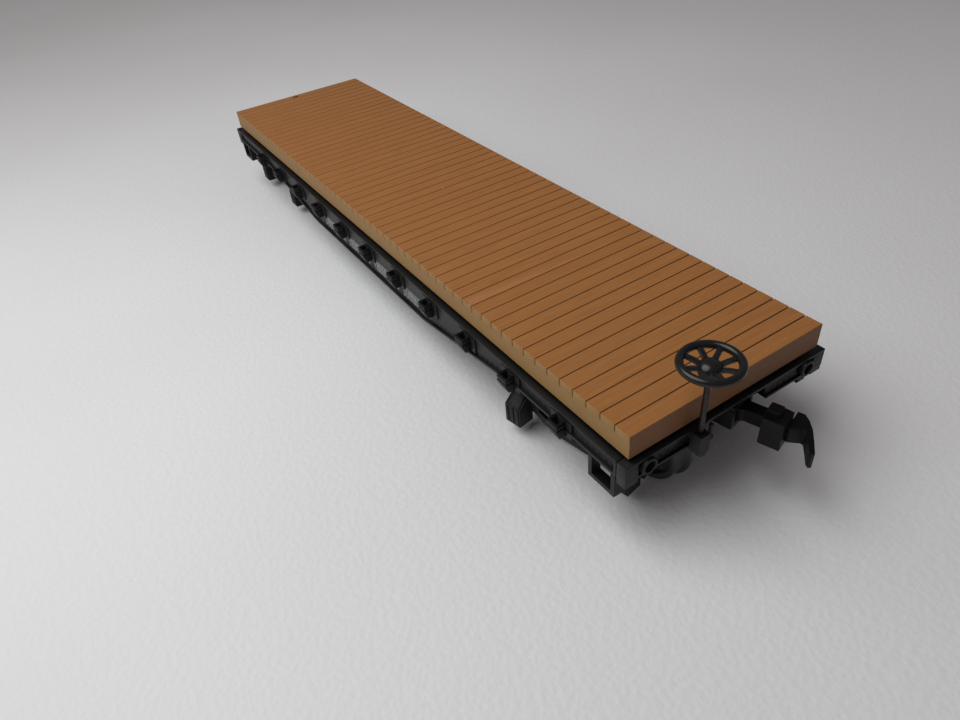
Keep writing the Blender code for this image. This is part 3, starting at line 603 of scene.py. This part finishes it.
# ---- side sills ----------------------------------------------------------------------
# Fishbelly channels under the deck's edges: a ledge above, a recessed web with rivets,
# and a thin flange below that follows the belly. Stake pockets are moulded on.
sill_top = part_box("side_sill_left")[1].z
sill_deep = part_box("side_sill_left")[0].z
sill_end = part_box("stirrup_near_left")[1].z + 0.1 * MM
sill_out = -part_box("stirrup_near_left")[0].y
underframe_low, underframe_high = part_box("underframe")
sill_in = underframe_high.y + 0.1 * MM
sill_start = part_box("side_sill_left")[0].x
sill_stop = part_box("side_sill_left")[1].x
deep_half = 23.0 * MM
slope_half = 50.0 * MM
lip = 0.42 * MM
web_in = 0.5 * MM
pocket_out = -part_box("side_sill_left")[0].y
pocket_pitch = 11.35 * MM
pocket_middle_x = car_x + 3.2 * MM
pocket_steps = [i * pocket_pitch for i in range(-5, 6)]
pocket_top = sill_top - 1.15 * MM
pocket_low = pocket_top - 2.5 * MM
pocket_half = 1.25 * MM
band = 0.16 * MM                                # how far the two bands stand out
rim_band = 0.34 * MM                            # height of the band around the mouth
lower_band_from, lower_band_to = 0.66 * MM, 1.0 * MM
foot_from = 1.25 * MM                           # the face slopes in below this
foot_in = 0.5 * MM
mouth_wall = 0.42 * MM
mouth_depth = 1.5 * MM
plate_half = 2.15 * MM                          # the plate that a pocket is rooted in
plate_proud = 0.3 * MM
plate_over, plate_under = 0.25 * MM, 0.1 * MM
rivet_pitch = 1.15 * MM
rivet_clear = 2.55 * MM                         # first rivet from a pocket's middle
rivet_in = 0.38 * MM                            # rivet row from the lip


def copy_of(piece, matrix, name=None):
    """A copy with its own mesh, put in place through its mesh."""
    twin = piece.copy()
    twin.data = piece.data.copy()
    twin.data.transform(matrix)
    if name:
        twin.name = name
    bpy.context.scene.collection.objects.link(twin)
    return twin


def join(pieces, name):
    select_only(pieces[0])
    for piece in pieces:
        piece.select_set(True)
    bpy.ops.object.join()
    pieces[0].name = name
    return pieces[0]


# The sill's web is painted paler as light from the lamp, and its up-facing faces are painted
# shade.
sill_black = black_moulding("sill_black", base=(0.007, 0.0068, 0.0068),
                            worn=(0.03, 0.03, 0.03), rough=0.46, shine=0.22,
                            web=(sill_out - web_in, (0.021, 0.021, 0.021)))


def belly(x):
    """Height of the sill's lower edge at a place along the car."""
    away = abs(x - car_x)
    if away < deep_half:
        return sill_deep
    if away > slope_half:
        return sill_end
    return sill_deep + (sill_end - sill_deep) * (away - deep_half) / (slope_half - deep_half)


def stake_pocket(side):
    """One pocket at X = 0: a square mouth, two bands and a sloping foot."""
    body_out = pocket_out - band
    body_half = pocket_half - band
    root = sill_out - web_in - 0.1 * MM
    pocket = block("pocket", (-body_half, side * root, pocket_low),
                   (body_half, side * body_out, pocket_top))
    edit(pocket)
    for level in (rim_band, lower_band_from, lower_band_to, foot_from):
        cut((0.0, 0.0, pocket_top - level), (0.0, 0.0, 1.0))
    pick(lambda at, normal: near(at.z, pocket_low) and near(at.y, side * body_out), "VERT")
    move(y=-side * foot_in)
    pick(lambda at, normal: abs(normal.z) < 0.5 and normal.y * side > -0.5
         and (at.z > pocket_top - rim_band
              or pocket_top - lower_band_to < at.z < pocket_top - lower_band_from))
    bpy.ops.mesh.extrude_region_shrink_fatten(TRANSFORM_OT_shrink_fatten={"value": -band})
    pick(lambda at, normal: normal.z > 0.9 and at.z > pocket_top - 0.01 * MM)
    bpy.ops.mesh.dissolve_limited()
    pick(lambda at, normal: normal.z > 0.9 and at.z > pocket_top - 0.01 * MM)
    bpy.ops.mesh.inset(thickness=mouth_wall)
    bpy.ops.mesh.extrude_region_move(TRANSFORM_OT_translate={"value": (0.0, 0.0, -mouth_depth)})
    done()
    round_edges(pocket, 0.05 * MM, 2, 30.0)
    plate = block("root_plate", (-plate_half, side * root, pocket_low - plate_under),
                  (plate_half, side * (sill_out - web_in + plate_proud),
                   pocket_top + plate_over))
    round_edges(plate, 0.08 * MM)
    return join([pocket, plate], "pocket")


def rivet_head(at, facing, radius=0.2 * MM):
    bpy.ops.object.select_all(action="DESELECT")
    bpy.ops.mesh.primitive_uv_sphere_add(segments=10, ring_count=6, radius=radius, location=at)
    head = bpy.context.object
    head.name = "rivet"
    flat = [0.75 if abs(c) > 0.5 else 1.0 for c in facing]
    head.scale = flat
    bpy.ops.object.transform_apply(location=True, rotation=False, scale=True)
    bpy.ops.object.shade_smooth()
    return head


for side, word in ((-1, "left"), (1, "right")):
    sill = block(f"channel_sill_{word}", (sill_start, side * sill_in, sill_deep),
                 (sill_stop, side * sill_out, sill_top))
    edit(sill)
    for x in (-slope_half, -deep_half, deep_half, slope_half):
        cut((car_x + x, 0.0, 0.0), (1.0, 0.0, 0.0))
    pick(lambda at, normal: abs(at.x - car_x) > slope_half - 0.1 * MM
         and near(at.z, sill_deep), "VERT")
    move(z=sill_end - sill_deep)
    pick(lambda at, normal: normal.y * side > 0.9)
    bpy.ops.mesh.inset(thickness=lip, depth=0.0)
    bpy.ops.mesh.extrude_region_move(
        TRANSFORM_OT_translate={"value": (0.0, -side * web_in, 0.0)})
    done()
    round_edges(sill, 0.06 * MM)

    first = stake_pocket(side)
    pockets = [copy_of(first, Matrix.Translation((pocket_middle_x + step, 0.0, 0.0)))
               for step in pocket_steps]
    bpy.data.objects.remove(first)

    web = side * (sill_out - web_in)
    first = rivet_head((0.0, web, 0.0), (0.0, 1.0, 0.0))
    rivets = []
    centres = [pocket_middle_x + step for step in pocket_steps]
    edges = [sill_start + 1.2 * MM] + centres + [sill_stop - 1.2 * MM]
    for start, stop in zip(edges, edges[1:]):
        inside_start = start + (rivet_clear if start in centres else 0.0)
        inside_stop = stop - (rivet_clear if stop in centres else 0.0)
        count = max(2, round((inside_stop - inside_start) / rivet_pitch) + 1)
        for i in range(count):
            x = inside_start + (inside_stop - inside_start) * i / (count - 1)
            rivets.append((x, sill_top - lip - rivet_in))
            rivets.append((x, belly(x) + lip + rivet_in))
    heads = [copy_of(first, Matrix.Translation((x, 0.0, z))) for x, z in rivets]
    bpy.data.objects.remove(first)
    sill = join([sill] + pockets + heads, f"channel_sill_{word}")
    fit(sill, "car_body", "frame_black_plastic", sill_black, f"side_sill_{word}")

# ---- printed marks -------------------------------------------------------------------
# Plain pale bars and dots printed on the web between pockets, where a car carries
# its data; they spell nothing.
ink, tree, shader = new_material("pale_ink")
chalky = use_group(tree, grain, Along=3000.0, Across=3000.0)
shade = remap(tree, chalky.outputs["Streaks"], 0.3, 0.7, 0.0, 1.0)
tree.links.new(mix_colours(tree, shade, (0.2, 0.21, 0.205), (0.42, 0.44, 0.43)),
               shader.inputs["Base Color"])
shader.inputs["Roughness"].default_value = 0.6
maker = random.Random(7)
ink_proud = 0.03 * MM
marked_gaps = (-2, -1, 0, 1)                    # gaps between pockets, from the middle one
mark_rows = ((3.35, 0.2), (3.75, 0.34), (4.25, 0.34), (4.75, 0.24), (5.15, 0.3))
for side, word in ((-1, "left"), (1, "right")):
    web = side * (sill_out - web_in)
    first = block("bar", (0.0, web - side * 0.05 * MM, 0.0), (MM, web + side * ink_proud, MM))
    round_edges(first, 0.01 * MM, 1)
    bars = []
    for gap in marked_gaps:
        x = pocket_middle_x + gap * pocket_pitch + 0.8 * MM
        stop = x + pocket_pitch - 1.6 * MM
        for drop, tall in mark_rows:            # below the sill's top, and height, in mm
            at = x + maker.uniform(0.0, 0.4) * MM
            while at < stop:
                wide = maker.uniform(0.25, 0.9) * MM
                low = sill_top - (drop + tall) * MM
                if low > belly(at) + lip + 0.3 * MM:
                    bars.append(copy_of(first, Matrix.Translation((at, 0.0, low))
                                @ Matrix.Diagonal((wide / MM, 1.0, tall, 1.0))))
                at += wide + maker.uniform(0.12, 0.28) * MM
    bpy.data.objects.remove(first)
    marks = join(bars, f"printed_bars_{word}")
    fit(marks, "car_body", "frame_black_plastic", ink)

# ---- end sills -----------------------------------------------------------------------
# A channel across each end with a gate for the coupler, a rivet row and a ringed
# poling pocket near each corner.
end_thick = 1.6 * MM
end_drop = 0.75 * MM                            # the corner blocks hang this far below
end_lip = 0.38 * MM
end_web_in = 0.4 * MM
gate_half, gate_top = 6.6 * MM, 12.5 * MM
corner_half = 1.04 * MM
poling_y, poling_up = 14.0 * MM, 1.35 * MM
poling_radius, poling_wall, poling_depth = 1.2 * MM, 0.38 * MM, 0.65 * MM
end_rivet_pitch = 1.15 * MM
for end, sign in (("near", 1), ("far", -1)):
    low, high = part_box(f"end_sill_{end}")
    back = underframe_high.x + 0.1 * MM if sign > 0 else underframe_low.x - 0.1 * MM
    face = back + sign * end_thick
    bottom = low.z + end_drop
    top = high.z
    beam = block(f"end_channel_{end}", (back, low.y, bottom), (face, high.y, top))
    edit(beam)
    pick(lambda at, normal: normal.x * sign > 0.9)
    bpy.ops.mesh.inset(thickness=end_lip, depth=0.0)
    bpy.ops.mesh.extrude_region_move(
        TRANSFORM_OT_translate={"value": (-sign * end_web_in, 0.0, 0.0)})
    done()
    carve(beam, block("gate", (back - sign * MM, -gate_half, bottom - MM),
                      (face + sign * MM, gate_half, gate_top)))
    round_edges(beam, 0.06 * MM)
    extras = []
    for y in (low.y + 1.05 * MM, high.y - 1.05 * MM):
        corner = block("corner_block", (back + sign * 0.02 * MM, y - corner_half, low.z),
                       (face - sign * 0.02 * MM, y + corner_half, top - 0.02 * MM))
        round_edges(corner, 0.12 * MM)
        extras.append(corner)
    for y in (-poling_y, poling_y):
        bpy.ops.object.select_all(action="DESELECT")
        bpy.ops.mesh.primitive_cylinder_add(
            vertices=40, radius=poling_radius, depth=0.9 * MM,
            location=(face - sign * 0.05 * MM, y, bottom + poling_up),
            rotation=(0.0, math.radians(90.0), 0.0))
        bpy.ops.object.transform_apply(location=True, rotation=True, scale=False)
        ring = bpy.context.object
        ring.name = "poling_pocket"
        edit(ring)
        pick(lambda at, normal: normal.x * sign > 0.9)
        bpy.ops.mesh.inset(thickness=poling_wall)
        bpy.ops.mesh.extrude_region_move(
            TRANSFORM_OT_translate={"value": (-sign * poling_depth, 0.0, 0.0)})
        done()
        round_edges(ring, 0.07 * MM)
        extras.append(ring)
    first = rivet_head((face - sign * end_web_in, 0.0, top - 0.8 * MM), (1.0, 0.0, 0.0),
                       0.18 * MM)
    for i in range(-10, 11):
        y = i * end_rivet_pitch
        if abs(i) > 5:
            extras.append(copy_of(first, Matrix.Translation((0.0, y, 0.0))))
            extras.append(copy_of(first, Matrix.Translation((0.0, y, -1.2 * MM))))
        else:
            extras.append(copy_of(first, Matrix.Translation((0.0, y, 0.12 * MM))))
    bpy.data.objects.remove(first)
    beam = join([beam] + extras, f"end_channel_{end}")
    fit(beam, "car_body", "frame_black_plastic", frame_black, f"end_sill_{end}")

# ---- hand brake ----------------------------------------------------------------------
# A glossy black wheel with eight flat spokes dished down to a domed hub, on a dull
# drawn-wire staff that turns in the bracket at the end of the car.
wheel_low, wheel_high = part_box("brake_wheel")
wheel_x = (wheel_low.x + wheel_high.x) / 2
wheel_y = (wheel_low.y + wheel_high.y) / 2
rim_bar = 0.5 * MM
rim_mid = (wheel_high.x - wheel_low.x) / 2 - rim_bar
rim_z = wheel_high.z - rim_bar
dish = 0.8 * MM
bpy.ops.object.select_all(action="DESELECT")
bpy.ops.mesh.primitive_torus_add(
    major_segments=72, minor_segments=16, major_radius=rim_mid, minor_radius=rim_bar,
    location=(wheel_x, wheel_y, rim_z))
rim = bpy.context.object
bpy.ops.object.transform_apply(location=True, rotation=False, scale=False)
bpy.ops.object.shade_smooth()
spoke = block("spoke", (0.3 * MM, -0.4 * MM, -0.2 * MM), (rim_mid, 0.4 * MM, 0.2 * MM))
edit(spoke)
cut((0.9 * MM, 0.0, 0.0), (1.0, 0.0, 0.0))
cut((1.9 * MM, 0.0, 0.0), (1.0, 0.0, 0.0))
pick(lambda at, normal: at.x < 1.0 * MM, "VERT")
move(z=-dish + 0.15 * MM)
pick(lambda at, normal: near(at.x, 1.9 * MM), "VERT")
move(z=-0.35 * dish)
for side in (-1, 1):
    pick(lambda at, normal: at.x > 1.8 * MM and at.y * side > 0.0, "VERT")
    move(y=-side * 0.07 * MM)
done()
round_edges(spoke, 0.06 * MM)
wheel_place = Matrix.Translation((wheel_x, wheel_y, rim_z))
arms = [copy_of(spoke, wheel_place @ Matrix.Rotation(math.radians(22.5 + 45.0 * i), 4, "Z"))
        for i in range(8)]
bpy.data.objects.remove(spoke)
bpy.ops.object.select_all(action="DESELECT")
bpy.ops.mesh.primitive_cylinder_add(vertices=40, radius=1.35 * MM, depth=1.1 * MM,
                                    location=(wheel_x, wheel_y, rim_z - dish - 0.05 * MM))
hub = bpy.context.object
bpy.ops.object.transform_apply(location=True, rotation=False, scale=False)
edit(hub)
pick(lambda at, normal: normal.z > 0.9)
for ring_in, rise in ((0.25, 0.28), (0.35, 0.2), (0.35, 0.07)):
    bpy.ops.mesh.inset(thickness=ring_in * MM)
    move(z=rise * MM)
done()
round_edges(hub, 0.08 * MM, 3, 20.0)
brake = join([rim] + arms + [hub], "hand_brake_wheel")
gloss_black, tree, shader = new_material("gloss_black")
texture = use_group(tree, grain, Along=900.0, Across=900.0)
shade = remap(tree, texture.outputs["Streaks"], 0.3, 0.7, 0.0, 1.0)
tree.links.new(mix_colours(tree, shade, (0.006, 0.006, 0.0065), (0.01, 0.01, 0.0105)),
               shader.inputs["Base Color"])
tree.links.new(remap(tree, texture.outputs["Fine"], 0.3, 0.7, 0.2, 0.3),
               shader.inputs["Roughness"])
bump = node(tree, "ShaderNodeBump")
bump.inputs["Strength"].default_value = 0.12
bump.inputs["Distance"].default_value = 0.00003
tree.links.new(texture.outputs["Streaks"], bump.inputs["Height"])
tree.links.new(bump.outputs["Normal"], shader.inputs["Normal"])
shader.inputs["Specular IOR Level"].default_value = 0.35
fit(brake, "hand_brake", "brake_black_plastic", gloss_black, "brake_wheel")

staff_low, staff_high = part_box("brake_staff")
bpy.ops.object.select_all(action="DESELECT")
bpy.ops.mesh.primitive_cylinder_add(
    vertices=32, radius=(staff_high.x - staff_low.x) / 2, depth=staff_high.z - staff_low.z,
    location=(wheel_x, wheel_y, (staff_low.z + staff_high.z) / 2))
staff = bpy.context.object
staff.name = "brake_wire_staff"
bpy.ops.object.transform_apply(location=True, rotation=False, scale=False)
round_edges(staff, 0.06 * MM)


def metal(name, dark, pale, rough, along=250.0, across=3500.0):
    """Bare metal with fine draw lines and slight tarnish."""
    made, tree, shader = new_material(name)
    lines = use_group(tree, grain, Along=along, Across=across)
    shade = remap(tree, lines.outputs["Streaks"], 0.3, 0.7, 0.0, 1.0)
    tree.links.new(mix_colours(tree, shade, dark, pale), shader.inputs["Base Color"])
    shader.inputs["Metallic"].default_value = 1.0
    tree.links.new(remap(tree, lines.outputs["Streaks"], 0.3, 0.7, rough + 0.1, rough - 0.05),
                   shader.inputs["Roughness"])
    bump = node(tree, "ShaderNodeBump")
    bump.inputs["Strength"].default_value = 0.2
    bump.inputs["Distance"].default_value = 0.00002
    tree.links.new(lines.outputs["Streaks"], bump.inputs["Height"])
    tree.links.new(bump.outputs["Normal"], shader.inputs["Normal"])
    return made


staff_metal = metal("staff_metal", dark=(0.03, 0.028, 0.025), pale=(0.075, 0.07, 0.062),
                    rough=0.42, along=2500.0, across=2500.0)
fit(staff, "hand_brake", "brake_staff_metal", staff_metal, "brake_staff")

# ---- wheelsets -----------------------------------------------------------------------
# Pointed steel axles with two black wheels each: a flange at the back, a coned tread,
# a dished face and a raised hub around the axle's end.


def lying_cylinder(name, radius, start, stop, sides):
    """A cylinder along Y between two places."""
    bpy.ops.object.select_all(action="DESELECT")
    bpy.ops.mesh.primitive_cylinder_add(
        vertices=sides, radius=radius, depth=stop - start,
        location=(0.0, (start + stop) / 2, 0.0), rotation=(math.radians(-90.0), 0.0, 0.0))
    bpy.ops.object.transform_apply(location=True, rotation=True, scale=False)
    bpy.context.object.name = name
    return bpy.context.object


def grow(factor, centre):
    bpy.ops.transform.resize(value=(factor, 1.0, factor), center_override=centre)


tread = 4.8 * MM
flange = 5.5 * MM
wheel_half = 1.4 * MM
wheel_out = 8.6 * MM                            # a wheel's middle from the car's
flange_at, flange_stop = 0.35 * MM, 0.75 * MM   # from the wheel's back
tyre = 0.75 * MM
dish_deep = 0.75 * MM
hub_out = 0.72 * MM
disc = lying_cylinder("disc", tread, -wheel_half, wheel_half, 72)
edit(disc)
cut((0.0, -wheel_half + flange_stop, 0.0), (0.0, 1.0, 0.0))
cut((0.0, -wheel_half + flange_at, 0.0), (0.0, 1.0, 0.0))
pick(lambda at, normal: near(at.y, -wheel_half + flange_at), "VERT")
grow(flange / tread, (0.0, -wheel_half + flange_at, 0.0))
pick(lambda at, normal: near(at.y, -wheel_half), "VERT")
grow((flange - 0.3 * MM) / tread, (0.0, -wheel_half, 0.0))
pick(lambda at, normal: near(at.y, wheel_half), "VERT")
grow((tread - 0.12 * MM) / tread, (0.0, wheel_half, 0.0))
pick(lambda at, normal: normal.y > 0.9)
bpy.ops.mesh.inset(thickness=tyre)
bpy.ops.mesh.extrude_region_move(TRANSFORM_OT_translate={"value": (0.0, -dish_deep, 0.0)})
grow(0.94, (0.0, wheel_half - dish_deep, 0.0))
bpy.ops.mesh.inset(thickness=1.5 * MM)
move(y=0.35 * MM)
bpy.ops.mesh.inset(thickness=0.18 * MM)
bpy.ops.mesh.extrude_region_move(TRANSFORM_OT_translate={"value": (0.0, hub_out, 0.0)})
pick(lambda at, normal: normal.y < -0.9)
bpy.ops.mesh.inset(thickness=1.1 * MM)
bpy.ops.mesh.extrude_region_move(TRANSFORM_OT_translate={"value": (0.0, 0.5 * MM, 0.0)})
bpy.ops.mesh.inset(thickness=2.1 * MM)
bpy.ops.mesh.extrude_region_move(TRANSFORM_OT_translate={"value": (0.0, -0.5 * MM, 0.0)})
done()
round_edges(disc, 0.08 * MM, 2, 18.0)

axle_long = 12.5 * MM
axle_thick = 0.8 * MM
point = 1.3 * MM
shaft = lying_cylinder("shaft", axle_thick, -axle_long, axle_long, 32)
edit(shaft)
cut((0.0, axle_long - point, 0.0), (0.0, 1.0, 0.0))
cut((0.0, -axle_long + point, 0.0), (0.0, 1.0, 0.0))
for tip in (-1, 1):
    pick(lambda at, normal: near(at.y, tip * axle_long), "VERT")
    grow(0.06, (0.0, tip * axle_long, 0.0))
done()
select_only(shaft)
bpy.ops.object.shade_smooth_by_angle(angle=math.radians(25.0))

wheel_black, tree, shader = new_material("wheel_black")
texture = use_group(tree, grain, Along=1500.0, Across=1500.0)
shade = remap(tree, texture.outputs["Streaks"], 0.3, 0.7, 0.0, 1.0)
colour = mix_colours(tree, shade, (0.009, 0.009, 0.0095), (0.018, 0.018, 0.019))
rubbed = use_group(tree, wear, Start=0.51, Full=0.58)
colour = mix_colours(tree, rubbed.outputs["Mask"], colour, (0.06, 0.06, 0.06))
tree.links.new(colour, shader.inputs["Base Color"])
tree.links.new(remap(tree, texture.outputs["Fine"], 0.3, 0.7, 0.28, 0.42),
               shader.inputs["Roughness"])
axle_steel = metal("axle_steel", dark=(0.36, 0.35, 0.34), pale=(0.56, 0.55, 0.53),
                   rough=0.3, along=900.0, across=900.0)
turns = {joint["child"]: joint for joint in frame["joints"]}
for end in ("near", "far"):
    for station in ("outer", "inner"):
        body = f"wheelset_{end}_{station}"
        joint = turns[body]
        heading = math.atan2(-joint["axis"][0], joint["axis"][1])
        spot = Matrix.Translation(joint["pos_m"]) @ Matrix.Rotation(heading, 4, "Z")
        bar = copy_of(shaft, spot, f"axle_shaft_{end}_{station}")
        fit(bar, body, "axle_steel", axle_steel, f"axle_{end}_{station}")
        for side, word in ((-1, "left"), (1, "right")):
            turn = Matrix.Rotation(0.0 if side > 0 else math.pi, 4, "Z")
            out = Matrix.Translation((0.0, side * wheel_out, 0.0))
            wheel = copy_of(disc, spot @ out @ turn, f"rolling_wheel_{end}_{station}_{word}")
            fit(wheel, body, "wheel_black_plastic", wheel_black,
                f"wheel_{end}_{station}_{word}")
bpy.data.objects.remove(disc)
bpy.data.objects.remove(shaft)

# ---- truck springs and journal lids --------------------------------------------------
# Moulded coil springs around the cores in each side frame, and a hinged lid on the
# front of each journal box.
coil_wire = 0.17 * MM
coil_radius = 0.66 * MM
coil_turns = 5
coil_low, coil_high = 3.0 * MM, 5.6 * MM
coil_x = 1.35 * MM
journal_x = 9.65 * MM
frame_mid = 12.3 * MM
bpy.ops.object.select_all(action="DESELECT")
bpy.ops.mesh.primitive_circle_add(
    vertices=8, radius=coil_wire, location=(coil_radius, 0.0, 0.0),
    rotation=(math.radians(90.0), 0.0, 0.0))
coil = bpy.context.object
bpy.ops.object.transform_apply(location=True, rotation=True, scale=False)
modify(coil, "SCREW", axis="Z", angle=2 * math.pi, steps=18, render_steps=18,
       screw_offset=(coil_high - coil_low) / coil_turns, iterations=coil_turns,
       use_merge_vertices=False)
edit(coil)
bpy.ops.mesh.select_all(action="SELECT")
bpy.ops.mesh.remove_doubles(threshold=1e-7)
bpy.ops.mesh.select_mode(type="EDGE")
bpy.ops.mesh.select_all(action="DESELECT")
bpy.ops.mesh.select_non_manifold()
bpy.ops.mesh.fill_holes(sides=0)
bpy.ops.mesh.select_all(action="SELECT")
bpy.ops.mesh.normals_make_consistent(inside=False)
done()
select_only(coil)
bpy.ops.object.shade_smooth_by_angle(angle=math.radians(60.0))

face_y, face_top, root_y, root_top = 15.5 * MM, 5.4 * MM, 12.8 * MM, 7.5 * MM
lid = block("lid", (-1.25 * MM, root_y + 0.2 * MM, -0.1 * MM), (1.25 * MM, face_y, 0.18 * MM))
edit(lid)
pick(lambda at, normal: normal.z > 0.9)
bpy.ops.mesh.inset(thickness=0.3 * MM)
move(z=0.1 * MM)
bpy.ops.mesh.select_all(action="SELECT")
move(z=face_top)
pick(lambda at, normal: at.y < root_y + 0.6 * MM, "VERT")
move(z=(root_top - face_top) * 0.93)
done()
round_edges(lid, 0.08 * MM)
hinge = block("hinge", (-0.85 * MM, root_y, root_top - 0.1 * MM),
              (0.85 * MM, root_y + 0.5 * MM, root_top + 0.3 * MM))
round_edges(hinge, 0.18 * MM, 3)
ribs = [block("face_rib", (x - 0.2 * MM, face_y - 0.1 * MM, 2.25 * MM),
              (x + 0.2 * MM, face_y + 0.12 * MM, face_top - 0.25 * MM))
        for x in (-1.0 * MM, 0.0, 1.0 * MM)]
for rib in ribs:
    round_edges(rib, 0.05 * MM)
lid = join([lid, hinge] + ribs, "lid")
for end, flip in (("near", 0.0), ("far", math.pi)):
    joint = turns[f"wheelset_{end}_outer"]
    heading = math.atan2(-joint["axis"][0], joint["axis"][1]) + flip
    centre = turns[f"truck_{end}"]["pos_m"]
    base = Matrix.Translation((centre[0], centre[1], 0.0)) @ Matrix.Rotation(heading, 4, "Z")
    made = []
    for side in (-1, 1):
        for x in (-coil_x, coil_x):
            spot = Matrix.Translation((x, side * frame_mid, coil_low))
            made.append(copy_of(coil, base @ spot))
        for x in (-journal_x, journal_x):
            turn = Matrix.Rotation(0.0 if side > 0 else math.pi, 4, "Z")
            made.append(copy_of(lid, base @ Matrix.Translation((x, 0.0, 0.0)) @ turn))
    fittings = join(made, f"springs_and_lids_{end}")
    fit(fittings, f"truck_{end}", "truck_black_plastic", truck_black)
bpy.data.objects.remove(coil)
bpy.data.objects.remove(lid)

# ---- metal fittings kept from the frame ----------------------------------------------
# The steel weight in the deck's hollow, the kingpins and the bronze coupler forks.
weight_steel = metal("weight_steel", dark=(0.22, 0.22, 0.225), pale=(0.36, 0.36, 0.37),
                     rough=0.4)
spring_bronze = metal("spring_bronze", dark=(0.42, 0.24, 0.09), pale=(0.56, 0.34, 0.14),
                      rough=0.3)
dress("weight", weight_steel, 0.1 * MM)
for end in ("near", "far"):
    dress(f"kingpin_{end}", axle_steel, 0.05 * MM)
    dress(f"coupler_spring_{end}", spring_bronze, 0.03 * MM)
